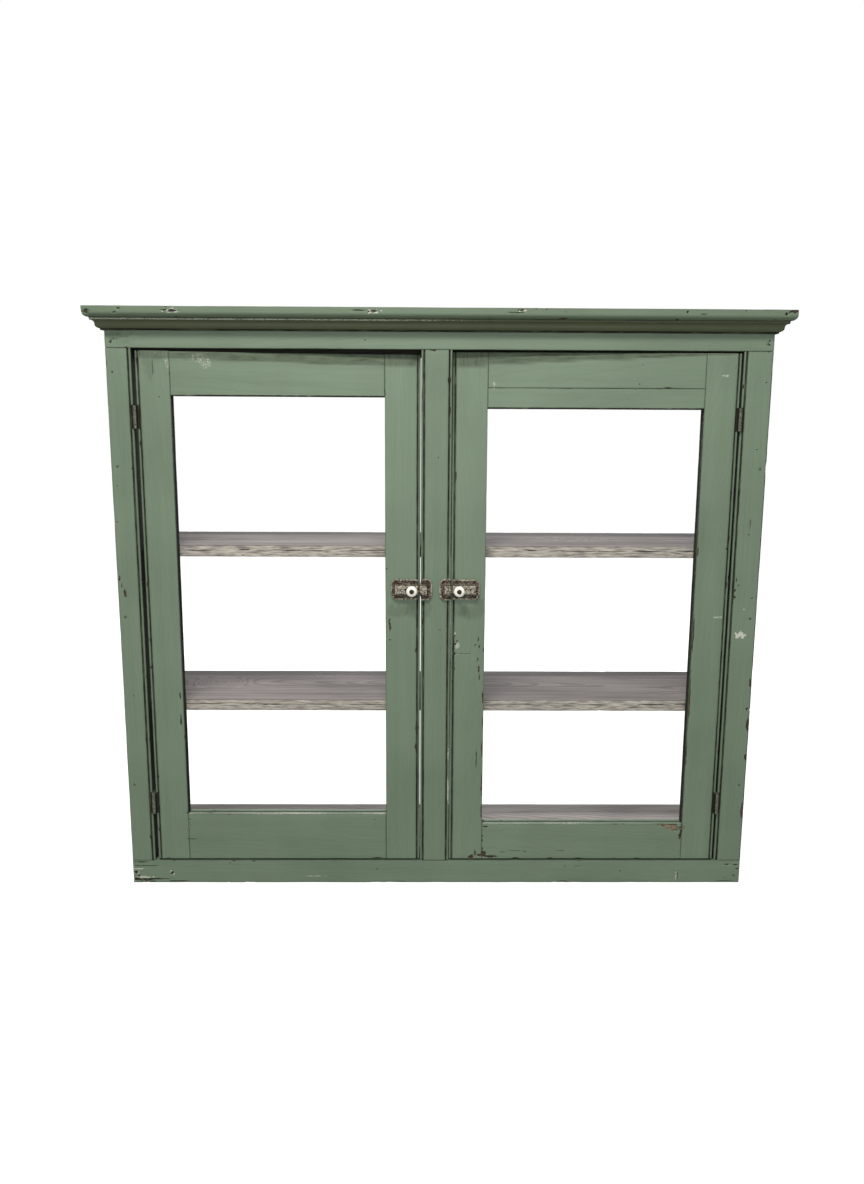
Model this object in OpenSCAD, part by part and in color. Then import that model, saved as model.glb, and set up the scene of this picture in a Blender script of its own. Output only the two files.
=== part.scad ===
// Wall cupboard with two framed doors, two shelves and a moulded cornice.
// Millimetres. X runs across the front, Y runs from the front to the back, Z is up.
// The origin is the middle of the footprint, on the surface that the cupboard stands on.

/* [Case] */
// Width over the two sides
body_w = 940; // [860:5:1100]
// Height over everything
body_h = 860; // [840:5:1000]
// Depth from the front face to the back edges
case_depth = 193; // [150:1:300]
// Thickness of the sides
side_t = 18; // [15:0.5:22]
// Thickness of the two shelves
shelf_t = 17; // [14:0.5:20]
// Thickness of the bottom board
bottom_t = 18; // [14:0.5:20]
// Height of the top face of the bottom board
bottom_top_z = 48.5; // [45:0.5:56]
// Height of the top face of the lower shelf
lower_shelf_z = 287.5; // [200:0.5:340]
// Height of the top face of the upper shelf
upper_shelf_z = 524; // [440:0.5:600]
// How far the shelf fronts stand behind the face
shelf_inset = 23; // [21:0.5:40]
// Underside of the tie rail behind the tops of the doors
tie_rail_z = 796; // [790:0.5:797]
// Height of the tie rail
tie_rail_h = 26; // [20:0.5:40]
// Thickness of the tie rail
tie_rail_t = 18; // [12:0.5:24]
// How far the tie rail stands behind the face
tie_rail_inset = 36; // [30:0.5:60]
// How deep the boards are let into the sides
housing_d = 6; // [3:0.5:9]

/* [Face frame] */
// Thickness of the face frame
frame_t = 20; // [20:0.5:24]
// Height of the base rail
base_rail_h = 37; // [30:0.5:38]
// Underside of the frieze rail
frieze_z = 805; // [804:0.5:810]
// Width of the left stile
left_stile_w = 35.5; // [28:0.5:50]
// Width of the right stile
right_stile_w = 41.5; // [28:0.5:50]
// Left edge of the centre post
post_left_x = -27; // [-30:0.5:-20]
// Right edge of the centre post
post_right_x = 17; // [14:0.5:30]
// Width of the bead along a quirked edge
bead_w = 3.5; // [2.5:0.1:4]
// Width of the quirk behind the bead
quirk_w = 1.6; // [1:0.1:2]

/* [Cornice] */
// Thickness of the top board
top_t = 15; // [12:0.5:18]
// Overhang of the top board at the front and at both ends
overhang = 23; // [18:0.5:25]
// Radius under the edge of the top board
top_round_r = 7.5; // [4:0.5:9]
// How far the bed moulding stands out at its top
moulding_out = 15; // [12:0.5:16]
// Radius of each half of the moulding's ogee
ogee_r = 5.5; // [4:0.1:5.5]
// Height of the moulding's upper fillet
upper_fillet_h = 3.1; // [2:0.1:4]
// Height of the moulding's lower fillet
lower_fillet_h = 2.2; // [1:0.1:3]

/* [Doors] */
// Thickness of both doors
door_t = 19; // [17:0.5:19]
// How far the door faces stand behind the frame's face
door_inset = 0.5; // [0:0.1:0.5]
// Underside of both doors
door_bottom_z = 39.5; // [39:0.5:42]
// Top of the left door at its hinged edge
left_door_top_z = 801.8; // [795:0.1:802.5]
// How much lower the left door's top is at its free edge
left_door_sag = 3.2; // [0:0.1:5]
// Top of the right door
right_door_top_z = 802.4; // [795:0.1:802.5]
// Gap between the left stile and the left door
left_hinge_gap = 5; // [2.4:0.1:6]
// Gap between the right stile and the right door
right_hinge_gap = 2.6; // [2.4:0.1:6]
// Gap between the left door and the centre post
left_latch_gap = 2; // [1:0.1:4]
// Gap between the right door and the centre post
right_latch_gap = 1; // [1:0.1:4]
// Width of the left door's hinged stile
left_hinged_stile_w = 48; // [44:0.5:60]
// Width of the right door's hinged stile
right_hinged_stile_w = 49.5; // [44:0.5:60]
// Width of both free stiles, which carry the catches
free_stile_w = 50; // [48:0.5:60]
// Lower edge of the left door's top rail
left_light_top_z = 739; // [700:0.5:750]
// Upper edge of the left door's bottom rail
left_light_bottom_z = 113; // [80:0.5:140]
// Lower edge of the strip under the right door's top rail
right_light_top_z = 723.5; // [690:0.5:735]
// Joint between the right door's top rail and the strip
strip_joint_z = 753; // [745:0.5:765]
// Upper edge of the right door's bottom rail
right_light_bottom_z = 97; // [80:0.5:140]
// Width of the panel groove
groove_w = 5; // [4:0.5:6]
// Depth of the panel groove
groove_d = 6; // [4:0.5:8]
// Length of the tenons in the doors
door_tenon_l = 32; // [20:1:36]

/* [Hinges] */
// Length of a hinge
hinge_l = 32; // [28:0.5:38]
// Radius of the knuckles
knuckle_r = 3.2; // [3:0.1:3.5]
// Radius of the pins
hinge_pin_r = 1.25; // [1:0.05:1.5]
// Depth of the leaves from the pin
leaf_d = 15; // [12:0.5:18]
// Thickness of the leaves
leaf_t = 1.4; // [1:0.1:1.6]
// Height of the middle of the upper hinges
upper_hinge_z = 710; // [660:1:720]
// Height of the middle of the lower hinges
lower_hinge_z = 131; // [100:1:180]

/* [Catches] */
// Height of the middle of the catches and keepers
catch_z = 463; // [350:1:500]
// Length of a catch's base plate
plate_l = 40; // [38:0.5:46]
// Height of a catch's base plate
plate_h = 30; // [28:0.5:34]
// Thickness of the plates
plate_t = 2.2; // [1.8:0.1:2.6]
// Length of the raised case
box_l = 33.5; // [32:0.5:35]
// Height of the raised case
box_h = 15.5; // [14:0.5:16]
// How far the raised case stands out from the door
box_out = 10; // [9.5:0.1:11]
// Diameter of the knobs
knob_d = 16.8; // [14:0.1:19]
// How far the front of a knob stands from its neck
knob_l = 13; // [10:0.5:16]
// Distance from the door's free edge to the knob
knob_x = 11; // [10.5:0.1:12]
// Length of a keeper's plate
keeper_l = 17; // [15:0.5:18]
// Height of a keeper's plate
keeper_h = 32; // [30:0.5:34]

/* [Hidden] */
$fn = 48;
LEFT = -1;
RIGHT = 1;
cut = 1;                  // how far a cutting tool runs past the face it opens

painted = "#7f917c";
bare_wood = "#8f8885";
iron = "#4b443d";
steel = "#5b5a55";
china = "#eee9dc";

// Case
side_in_x = body_w / 2 - side_t;
case_top_z = body_h - top_t;
moulding_h = upper_fillet_h + 2 * ogee_r + lower_fillet_h;
moulding_z = case_top_z - moulding_h;
moulding_foot = moulding_out - 2 * ogee_r;

// Face frame
frame_tenon_t = 7;
frame_tenon_l = 22;
frame_tenon_inset = 7;

// Knob and its stud, measured outward from the door's face
knob_gap = 0.5;
knob_base = box_out + knob_gap;
knob_front = knob_base + knob_l;
stud_r = 2;
stud_head_r = 3.3;
stud_head_h = 2.2;
stud_head_out = 1.2;
front_reach = knob_front + stud_head_out - door_inset;
face_y = (front_reach - case_depth) / 2;

// Doors: x0 is the hinged edge and w is the width towards the centre post
left_door_x0 = -body_w / 2 + left_stile_w + left_hinge_gap;
left_door_w = post_left_x - left_latch_gap - left_door_x0;
right_door_x0 = body_w / 2 - right_stile_w - right_hinge_gap;
right_door_w = right_door_x0 - post_right_x - right_latch_gap;
groove_y = (door_t - groove_w) / 2;
mortise_inset = 8;        // from the end of a haunch to its tenon

// Hinges
pin_proud = 1.2;          // from the frame's face to the pin's axis
pin_clearance = 0.06;
leaf_gap = 0.35;          // from the pin's axis plane to the inner face of a leaf
knuckle_count = 5;
knuckle_l = hinge_l / knuckle_count;
knuckle_gap = 0.25;
sweep_gap = 0.4;          // round a knuckle, where the other leaf turns past it
wide_notch = 2.2;
screw_r = 1.3;
screw_head_r = 2.6;
screw_head_h = 1.3;
screw_clearance = 0.15;
hinge_screw_l = 12;
hinge_screw_z = 9.5;

// Catches: x runs from the door's free edge into the stile
plate_x = 2;
box_wall = 2.2;
bolt_h = 9.4;
bolt_back = 0.6;
bolt_front = 7;
bolt_nose_x = -0.5;
bolt_tail_x = 18;
bolt_bevel = 3.5;
bolt_play = 0.3;
bolt_throw = 5;
bolt_draw = 7;
tail_peg_r = 1.1;
tail_peg_l = 4;
spring_r = 1.9;
spring_wire_r = 0.35;
spring_turns = 6;
corner_r = 9;
catch_screw_z = 11.3;
catch_screw_l = 13;
keeper_box_l = 9;
left_keeper_overlap = 1;
right_keeper_overlap = 0;
keeper_screw_x = 10.5;
slot_w = 0.8;
slot_d = 0.7;

// Nails
nail_r = 1.3;
nail_head_r = 2.2;
nail_head_h = 0.8;
nail_l = 42;

function hinge_gap(side) = side == LEFT ? left_hinge_gap : right_hinge_gap;
function door_w(side) = side == LEFT ? left_door_w : right_door_w;
function hinged_stile_w(side) = side == LEFT ? left_hinged_stile_w : right_hinged_stile_w;
function light_top_z(side) = side == LEFT ? left_light_top_z : right_light_top_z;
function light_bottom_z(side) = side == LEFT ? left_light_bottom_z : right_light_bottom_z;
function leaf_out(side) = max(hinge_gap(side) / 2, leaf_gap + leaf_t);

// ---------------------------------------------------------------- shared frames

// Y = 0 on the front face of the frame
module at_face() {
    translate([0, face_y, 0]) children();
}

// X = 0 on a door's hinged edge and X towards its free edge, Y = 0 on the door's face
module at_door(side) {
    x0 = side == LEFT ? left_door_x0 : right_door_x0;
    translate([x0, face_y + door_inset, 0])
        if (side == LEFT) children();
        else mirror([1, 0, 0]) children();
}

// On a hinge pin's axis at the middle of the hinge, X towards the door
module at_hinge(side, z) {
    gap = hinge_gap(side) / 2;
    x = side == LEFT ? left_door_x0 - gap : right_door_x0 + gap;
    translate([x, face_y - pin_proud, z])
        if (side == LEFT) children();
        else mirror([1, 0, 0]) children();
}

// On a door's free edge at the height of the catch, X into the stile
module at_catch(side) {
    at_door(side)
        translate([door_w(side), 0, catch_z])
            mirror([1, 0, 0]) children();
}

// On the centre post's edge at the height of the catch, X into the post
module at_keeper(side) {
    x = side == LEFT ? post_left_x : post_right_x;
    translate([x, face_y, catch_z])
        if (side == LEFT) children();
        else mirror([1, 0, 0]) children();
}

// An outline in X and Z, raised from Y = 0 towards the front
module raise_front(out) {
    rotate([90, 0, 0]) linear_extrude(out) children();
}

// ---------------------------------------------------------------- case

// A housing in a side for a board whose top face is at top_z
module housing(top_z, t, front_y) {
    translate([side_in_x - cut, front_y, top_z - t])
        cube([housing_d + cut, case_depth - front_y + cut, t]);
}

module case_side() {
    difference() {
        translate([side_in_x, frame_t, 0])
            cube([side_t, case_depth - frame_t, case_top_z]);
        housing(bottom_top_z, bottom_t, frame_t - cut);
        housing(lower_shelf_z, shelf_t, shelf_inset);
        housing(upper_shelf_z, shelf_t, shelf_inset);
        translate([side_in_x - cut, tie_rail_inset, tie_rail_z])
            cube([housing_d + cut, tie_rail_t, tie_rail_h]);
    }
}

// A board between the sides, let into both of them
module housed_board(top_z, t, front_y) {
    half = side_in_x + housing_d;
    translate([-half, front_y, top_z - t])
        cube([2 * half, case_depth - front_y, t]);
}

module side_left() { color(painted) at_face() mirror([1, 0, 0]) case_side(); }
module side_right() { color(painted) at_face() case_side(); }
module bottom_board() { color(bare_wood) at_face() housed_board(bottom_top_z, bottom_t, frame_t); }
module lower_shelf() { color(bare_wood) at_face() housed_board(lower_shelf_z, shelf_t, shelf_inset); }
module upper_shelf() { color(bare_wood) at_face() housed_board(upper_shelf_z, shelf_t, shelf_inset); }

module tie_rail() {
    half = side_in_x + housing_d;
    color(bare_wood) at_face()
        translate([-half, tie_rail_inset, tie_rail_z])
            cube([2 * half, tie_rail_t, tie_rail_h]);
}

// ---------------------------------------------------------------- face frame

// The outline of an upright with a quirked bead along its edges, front at Y = 0
module quirk_cut() {
    translate([-cut, -cut])
        square([bead_w + quirk_w + cut, 0.75 * bead_w + cut]);
}

module bead() {
    translate([bead_w / 2, bead_w / 2]) circle(d = bead_w);
    translate([0, bead_w / 2]) square([bead_w, bead_w / 2]);
}

module beaded_outline(w, t, near, far) {
    difference() {
        square([w, t]);
        if (near) quirk_cut();
        if (far) translate([w, 0]) mirror([1, 0]) quirk_cut();
    }
    if (near) bead();
    if (far) translate([w, 0]) mirror([1, 0]) bead();
}

module frame_tenon(w, z) {
    translate([frame_tenon_inset, (frame_t - frame_tenon_t) / 2, z])
        cube([w - 2 * frame_tenon_inset, frame_tenon_t, frame_tenon_l]);
}

module frame_tenons(w) {
    frame_tenon(w, base_rail_h - frame_tenon_l);
    frame_tenon(w, frieze_z);
}

module upright(w, near, far) {
    translate([0, 0, base_rail_h])
        linear_extrude(frieze_z - base_rail_h)
            beaded_outline(w, frame_t, near, far);
    frame_tenons(w);
}

// The three places where an upright's tenons enter the rails
module at_uprights() {
    translate([-body_w / 2, 0, 0]) frame_tenons(left_stile_w);
    translate([post_left_x, 0, 0]) frame_tenons(post_right_x - post_left_x);
    translate([body_w / 2 - right_stile_w, 0, 0]) frame_tenons(right_stile_w);
}

module full_rail(z, h) {
    difference() {
        translate([-body_w / 2, 0, z]) cube([body_w, frame_t, h]);
        at_uprights();
    }
}

module base_rail() { color(painted) at_face() full_rail(0, base_rail_h); }
module frieze_rail() { color(painted) at_face() full_rail(frieze_z, case_top_z - frieze_z); }

module stile_left() {
    color(painted)
        difference() {
            at_face() translate([-body_w / 2, 0, 0]) upright(left_stile_w, false, true);
            hinge_seats(LEFT, true);
        }
}

module stile_right() {
    color(painted)
        difference() {
            at_face() translate([body_w / 2 - right_stile_w, 0, 0]) upright(right_stile_w, true, false);
            hinge_seats(RIGHT, true);
        }
}

module centre_post() {
    color(painted) at_face()
        translate([post_left_x, 0, 0]) upright(post_right_x - post_left_x, true, true);
}

// ---------------------------------------------------------------- cornice

// The edge of the top board: square above, rounded below, X = 0 on the outer edge
module top_edge_outline(length) {
    translate([top_round_r, 0]) square([length - top_round_r, top_t]);
    translate([0, top_round_r]) square([length, top_t - top_round_r]);
    translate([top_round_r, top_round_r]) circle(top_round_r);
}

module top_board() {
    half = body_w / 2 + overhang;
    depth = case_depth + overhang;
    color(painted) at_face() translate([0, -overhang, case_top_z])
        intersection() {
            translate([-half, 0, 0])
                rotate([90, 0, 90]) linear_extrude(2 * half) top_edge_outline(depth);
            for (turn = [0, 1]) mirror([turn, 0, 0])
                translate([-half, depth, 0])
                    rotate([90, 0, 0]) linear_extrude(depth) top_edge_outline(2 * half);
        }
}

// The bed moulding, X out from the wall it is fixed to
module moulding_outline() {
    cove_z = lower_fillet_h + ogee_r;
    square([moulding_foot, moulding_h]);
    intersection() {
        translate([moulding_foot, cove_z]) circle(ogee_r);
        translate([0, lower_fillet_h]) square([moulding_foot + ogee_r, ogee_r]);
    }
    difference() {
        translate([0, cove_z]) square([moulding_out, ogee_r]);
        translate([moulding_out, cove_z]) circle(ogee_r);
    }
    translate([0, cove_z + ogee_r]) square([moulding_out, upper_fillet_h]);
}

module cornice_front() {
    reach = overhang + cut;
    half = body_w / 2;
    color(painted) at_face()
        intersection() {
            translate([-half - reach, 0, moulding_z])
                rotate([90, 0, 90]) linear_extrude(2 * (half + reach))
                    mirror([1, 0]) moulding_outline();
            linear_extrude(body_h)
                polygon([[-half, 0], [half, 0], [half + reach, -reach], [-half - reach, -reach]]);
        }
}

module cornice_return() {
    reach = overhang + cut;
    half = body_w / 2;
    intersection() {
        translate([half, case_depth, moulding_z])
            rotate([90, 0, 0]) linear_extrude(case_depth + reach) moulding_outline();
        linear_extrude(body_h)
            polygon([[half, 0], [half + reach, -reach], [half + reach, case_depth], [half, case_depth]]);
    }
}

module cornice_return_left() { color(painted) at_face() mirror([1, 0, 0]) cornice_return(); }
module cornice_return_right() { color(painted) at_face() cornice_return(); }

// ---------------------------------------------------------------- nails

// A nail driven along +Z, its head's face at Z = 0
module nail() {
    cylinder(h = nail_l, r = nail_r);
    cylinder(h = nail_head_h, r = nail_head_r);
}

module case_nails() {
    side_x = body_w / 2 - side_t / 2;
    color(iron) at_face() for (turn = [0, 1]) mirror([turn, 0, 0]) {
        // through the face frame into the sides
        for (z = [12, 160, 420, 640, frieze_z + 10])
            translate([side_x, 0, z]) rotate([-90, 0, 0]) nail();
        // down through the top board into the sides and the frieze rail
        for (y = [70, 150]) translate([side_x, y, body_h]) mirror([0, 0, 1]) nail();
        for (x = [140, 330]) translate([x, frame_t / 2, body_h]) mirror([0, 0, 1]) nail();
        // through the sides into the three boards
        for (z = [bottom_top_z - bottom_t / 2, lower_shelf_z - shelf_t / 2, upper_shelf_z - shelf_t / 2])
            for (y = [65, 150]) translate([body_w / 2, y, z]) rotate([0, -90, 0]) nail();
    }
}

// ---------------------------------------------------------------- doors

// The door's front outline, whose top edge falls to the free side on the left door
module door_outline(side) {
    top = side == LEFT ? left_door_top_z : right_door_top_z;
    sag = side == LEFT ? left_door_sag : 0;
    w = door_w(side);
    translate([0, door_t + cut, 0]) raise_front(door_t + 2 * cut)
        polygon([[0, door_bottom_z], [w, door_bottom_z], [w, top - sag], [0, top]]);
}

// A tenon of a rail that ends at x, towards -X, on a haunch that fills the groove's line
module door_tenon(x, z0, z1, long) {
    translate([x - groove_d, groove_y, z0])
        cube([groove_d, groove_w, z1 - z0]);
    if (long)
        translate([x - door_tenon_l, groove_y, z0 + mortise_inset])
            cube([door_tenon_l, groove_w, z1 - z0 - 2 * mortise_inset]);
}

module rail_tenons(side, z0, z1, long) {
    door_tenon(hinged_stile_w(side), z0, z1, long);
    translate([door_w(side), 0, 0]) mirror([1, 0, 0])
        door_tenon(free_stile_w, z0, z1, long);
}

module top_tenons(side) {
    if (side == LEFT) rail_tenons(LEFT, left_light_top_z + groove_d, left_door_top_z - left_door_sag, true);
    else rail_tenons(RIGHT, strip_joint_z, right_door_top_z, true);
}

module strip_tenons() {
    rail_tenons(RIGHT, right_light_top_z + groove_d, strip_joint_z, false);
}

module bottom_tenons(side) {
    rail_tenons(side, door_bottom_z, light_bottom_z(side) - groove_d, true);
}

// All the tenons of one door, which also cut its mortises
module door_tenons(side) {
    top_tenons(side);
    if (side == RIGHT) strip_tenons();
    bottom_tenons(side);
}

// A stile from x to x + w, beaded along the door's outer edge
module door_upright(side, x, w, near, far) {
    groove_x = near ? x + w - groove_d : x - cut;
    difference() {
        intersection() {
            translate([x, 0, 0]) linear_extrude(body_h) beaded_outline(w, door_t, near, far);
            door_outline(side);
        }
        translate([groove_x, groove_y, light_bottom_z(side) - groove_d])
            cube([groove_d + cut, groove_w, light_top_z(side) - light_bottom_z(side) + 2 * groove_d]);
        door_tenons(side);
    }
}

// A rail between the stiles from z0 to z1, grooved along one edge; its tenons are its children
module door_rail(side, z0, z1, groove_z) {
    x0 = hinged_stile_w(side);
    x1 = door_w(side) - free_stile_w;
    intersection() {
        difference() {
            translate([x0, 0, z0]) cube([x1 - x0, door_t, z1 - z0]);
            if (groove_z != undef)
                translate([x0 - cut, groove_y, groove_z])
                    cube([x1 - x0 + 2 * cut, groove_w, groove_d + cut]);
        }
        door_outline(side);
    }
    children();
}

module hinged_stile(side) {
    color(painted)
        difference() {
            at_door(side) door_upright(side, 0, hinged_stile_w(side), true, false);
            hinge_seats(side, false);
        }
}

module free_stile(side) {
    color(painted) at_door(side)
        door_upright(side, door_w(side) - free_stile_w, free_stile_w, false, true);
}

module bottom_rail(side) {
    z1 = light_bottom_z(side);
    color(painted) at_door(side)
        door_rail(side, door_bottom_z, z1, z1 - groove_d) bottom_tenons(side);
}

module left_door_hinged_stile() { hinged_stile(LEFT); }
module left_door_free_stile() { free_stile(LEFT); }
module left_door_bottom_rail() { bottom_rail(LEFT); }
module left_door_top_rail() {
    color(painted) at_door(LEFT)
        door_rail(LEFT, left_light_top_z, left_door_top_z, left_light_top_z - cut) top_tenons(LEFT);
}

module right_door_hinged_stile() { hinged_stile(RIGHT); }
module right_door_free_stile() { free_stile(RIGHT); }
module right_door_bottom_rail() { bottom_rail(RIGHT); }
module right_door_top_rail() {
    color(painted) at_door(RIGHT)
        door_rail(RIGHT, strip_joint_z, right_door_top_z, undef) top_tenons(RIGHT);
}
module right_door_top_strip() {
    color(painted) at_door(RIGHT)
        door_rail(RIGHT, right_light_top_z, strip_joint_z, right_light_top_z - cut) strip_tenons();
}

// ---------------------------------------------------------------- hinges

// The leaf of a butt hinge on the -X side of its pin; odd picks which knuckles it has
module hinge_leaf(side, odd) {
    out = leaf_out(side);
    difference() {
        union() {
            difference() {
                translate([-out, 0, -hinge_l / 2]) cube([leaf_t, leaf_d, hinge_l]);
                for (k = [0 : knuckle_count - 1]) if (k % 2 != odd)
                    translate([0, 0, -hinge_l / 2 + k * knuckle_l - knuckle_gap])
                        cylinder(h = knuckle_l + 2 * knuckle_gap, r = knuckle_r + sweep_gap);
            }
            for (k = [0 : knuckle_count - 1]) if (k % 2 == odd)
                translate([0, 0, -hinge_l / 2 + k * knuckle_l])
                    cylinder(h = knuckle_l, r = knuckle_r);
        }
        translate([0, 0, -hinge_l]) cylinder(h = 2 * hinge_l, r = hinge_pin_r + pin_clearance);
        leaf_screws(side, screw_clearance);
    }
}

// A countersunk screw driven along +Z, its head's face at Z = 0
module screw(length, grow) {
    cylinder(h = length, r = screw_r + grow);
    cylinder(h = screw_head_h, r1 = screw_head_r + grow, r2 = screw_r + grow);
}

module leaf_screws(side, grow) {
    for (z = [-hinge_screw_z, hinge_screw_z])
        translate([-leaf_out(side) + leaf_t, 0.64 * leaf_d, z])
            rotate([0, -90, 0]) screw(hinge_screw_l, grow);
}

// The room that a hinge takes out of the wood on the -X side of its pin
module hinge_seat(side, notch) {
    depth = knuckle_r + pin_proud + sweep_gap;
    translate([-leaf_out(side), 0, -hinge_l / 2]) cube([leaf_out(side), leaf_d, hinge_l]);
    translate([-knuckle_r - notch, -knuckle_r - cut, -hinge_l / 2 - sweep_gap])
        cube([knuckle_r + notch, depth + cut + 0.4 * knuckle_r, hinge_l + 2 * sweep_gap]);
}

// The barrel has a wide notch in the left stile and in the right door
module hinge_seats(side, in_frame) {
    wide = (side == LEFT) == in_frame;
    for (z = [lower_hinge_z, upper_hinge_z])
        at_hinge(side, z)
            if (in_frame) hinge_seat(side, wide ? wide_notch : sweep_gap);
            else mirror([1, 0, 0]) hinge_seat(side, wide ? wide_notch : sweep_gap);
}

module frame_leaf(side, z) { color(iron) at_hinge(side, z) hinge_leaf(side, 0); }
module door_leaf(side, z) { color(iron) at_hinge(side, z) mirror([1, 0, 0]) hinge_leaf(side, 1); }
module hinge_pin(side, z) {
    color(steel) at_hinge(side, z)
        translate([0, 0, -hinge_l / 2]) cylinder(h = hinge_l, r = hinge_pin_r);
}

module left_upper_frame_leaf() { frame_leaf(LEFT, upper_hinge_z); }
module left_upper_door_leaf() { door_leaf(LEFT, upper_hinge_z); }
module left_upper_hinge_pin() { hinge_pin(LEFT, upper_hinge_z); }
module left_lower_frame_leaf() { frame_leaf(LEFT, lower_hinge_z); }
module left_lower_door_leaf() { door_leaf(LEFT, lower_hinge_z); }
module left_lower_hinge_pin() { hinge_pin(LEFT, lower_hinge_z); }
module right_upper_frame_leaf() { frame_leaf(RIGHT, upper_hinge_z); }
module right_upper_door_leaf() { door_leaf(RIGHT, upper_hinge_z); }
module right_upper_hinge_pin() { hinge_pin(RIGHT, upper_hinge_z); }
module right_lower_frame_leaf() { frame_leaf(RIGHT, lower_hinge_z); }
module right_lower_door_leaf() { door_leaf(RIGHT, lower_hinge_z); }
module right_lower_hinge_pin() { hinge_pin(RIGHT, lower_hinge_z); }

module frame_hinge_screws() {
    color(steel)
        for (side = [LEFT, RIGHT]) for (z = [lower_hinge_z, upper_hinge_z])
            at_hinge(side, z) leaf_screws(side, 0);
}

module door_hinge_screws(side) {
    color(steel)
        for (z = [lower_hinge_z, upper_hinge_z])
            at_hinge(side, z) mirror([1, 0, 0]) leaf_screws(side, 0);
}

module left_door_hinge_screws() { door_hinge_screws(LEFT); }
module right_door_hinge_screws() { door_hinge_screws(RIGHT); }

// ---------------------------------------------------------------- catches

// A plate outline from x0 to x0 + l with its two far corners rounded
module plate_outline(x0, l, h) {
    translate([x0, -h / 2]) square([l - corner_r, h]);
    translate([x0, corner_r - h / 2]) square([l, h - 2 * corner_r]);
    for (z = [-1, 1])
        translate([x0 + l - corner_r, z * (h / 2 - corner_r)]) circle(corner_r);
}

// A cast box from x0 to x0 + l whose two long walls lean in towards its front
module cast_box(x0, l, h, out) {
    lean = 0.9;
    round_r = 1.6;
    translate([x0, 0, 0]) rotate([90, 0, 90]) linear_extrude(l)
        polygon([
            [0, -h / 2], [0, h / 2],
            [-out + round_r, h / 2 - lean], [-out, h / 2 - lean - round_r],
            [-out, -h / 2 + lean + round_r], [-out + round_r, -h / 2 + lean]
        ]);
}

// The four screws of a catch, or the holes for them
module catch_screw_set(grow) {
    for (x = [plate_x + 6, plate_x + plate_l - 8])
        for (z = [-catch_screw_z, catch_screw_z])
            translate([x, -plate_t, z]) rotate([-90, 0, 0]) screw(catch_screw_l, grow);
}

module keeper_screw_set(grow) {
    for (z = [-catch_screw_z, catch_screw_z])
        translate([keeper_screw_x, -plate_t, z]) rotate([-90, 0, 0]) screw(catch_screw_l, grow);
}

// A slot across the head of a screw whose head's face looks out of the plate
module head_slot(x, z) {
    translate([x - screw_head_r - cut, -plate_t - cut, z - slot_w / 2])
        cube([2 * (screw_head_r + cut), slot_d + cut, slot_w]);
}

module catch_case(side) {
    bolt_room = bolt_h / 2 + bolt_play;
    color(iron) at_catch(side)
        difference() {
            union() {
                raise_front(plate_t) plate_outline(plate_x, plate_l, plate_h);
                cast_box(plate_x, box_l, box_h, box_out);
            }
            // the bolt's way, open at the free edge and at the back
            translate([plate_x - cut, -bolt_front - bolt_play, -bolt_room])
                cube([box_l - box_wall + cut, bolt_front + bolt_play + cut, 2 * bolt_room]);
            // the slot that the knob's stud slides in
            slot_r = stud_r + bolt_play;
            for (x = [knob_x - bolt_throw, knob_x + bolt_draw])
                translate([x, 0, 0]) raise_front(box_out + cut) circle(slot_r);
            translate([knob_x - bolt_throw, 0, 0]) raise_front(box_out + cut)
                translate([0, -slot_r]) square([bolt_throw + bolt_draw, 2 * slot_r]);
            catch_screw_set(screw_clearance);
        }
}

module catch_bolt(side) {
    thick = bolt_front - bolt_back;
    color(iron) at_catch(side)
        difference() {
            union() {
                // a bar whose nose is bevelled on the side that meets the keeper first
                translate([0, 0, -bolt_h / 2]) linear_extrude(bolt_h)
                    polygon([
                        [bolt_tail_x, -bolt_back], [bolt_tail_x, -bolt_front],
                        [bolt_nose_x, -bolt_front], [bolt_nose_x, -bolt_back - bolt_bevel],
                        [bolt_nose_x + bolt_bevel, -bolt_back]
                    ]);
                translate([bolt_tail_x, -bolt_back - thick / 2, 0])
                    rotate([0, 90, 0]) cylinder(h = tail_peg_l, r = tail_peg_r);
            }
            translate([knob_x, -bolt_back + cut, 0])
                rotate([90, 0, 0]) cylinder(h = bolt_front + 2 * cut, r = stud_r);
        }
}

// A mushroom knob: its neck, a hollow under the rim, the rim and a gently crowned front
module catch_knob(side) {
    rim_r = knob_d / 2;
    neck_r = 4.6;
    rim_h = 4;
    crown = 1.6;
    hole_r = stud_r + bolt_play / 2;
    crown_r = (rim_r * rim_r + crown * crown) / (2 * crown);
    rim_z = knob_l - crown - rim_h / 2;
    throat_r = rim_r - neck_r;
    color(china) at_catch(side)
        translate([knob_x, -knob_base, 0]) rotate([90, 0, 0])
            difference() {
                rotate_extrude() {
                    // the neck, waisted by a round hollow
                    difference() {
                        square([rim_r - 0.6, rim_z]);
                        translate([neck_r + throat_r, rim_z - rim_h / 2 - throat_r]) circle(throat_r);
                        translate([neck_r, -cut]) square([throat_r, rim_z - rim_h / 2 - throat_r + cut]);
                    }
                    // the rolled rim
                    translate([rim_r - rim_h / 2, rim_z]) circle(rim_h / 2);
                    translate([0, rim_z]) square([rim_r - rim_h / 2, rim_h / 2]);
                    // the crown
                    intersection() {
                        translate([0, knob_l - crown_r]) circle(crown_r, $fn = 96);
                        translate([0, rim_z]) square([rim_r - 0.8, knob_l]);
                    }
                }
                translate([0, 0, -cut]) cylinder(h = knob_l + 2 * cut, r = hole_r);
                translate([0, 0, knob_l - stud_head_h + stud_head_out])
                    cylinder(h = knob_l, r = stud_head_r + bolt_play / 2);
            }
}

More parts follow.
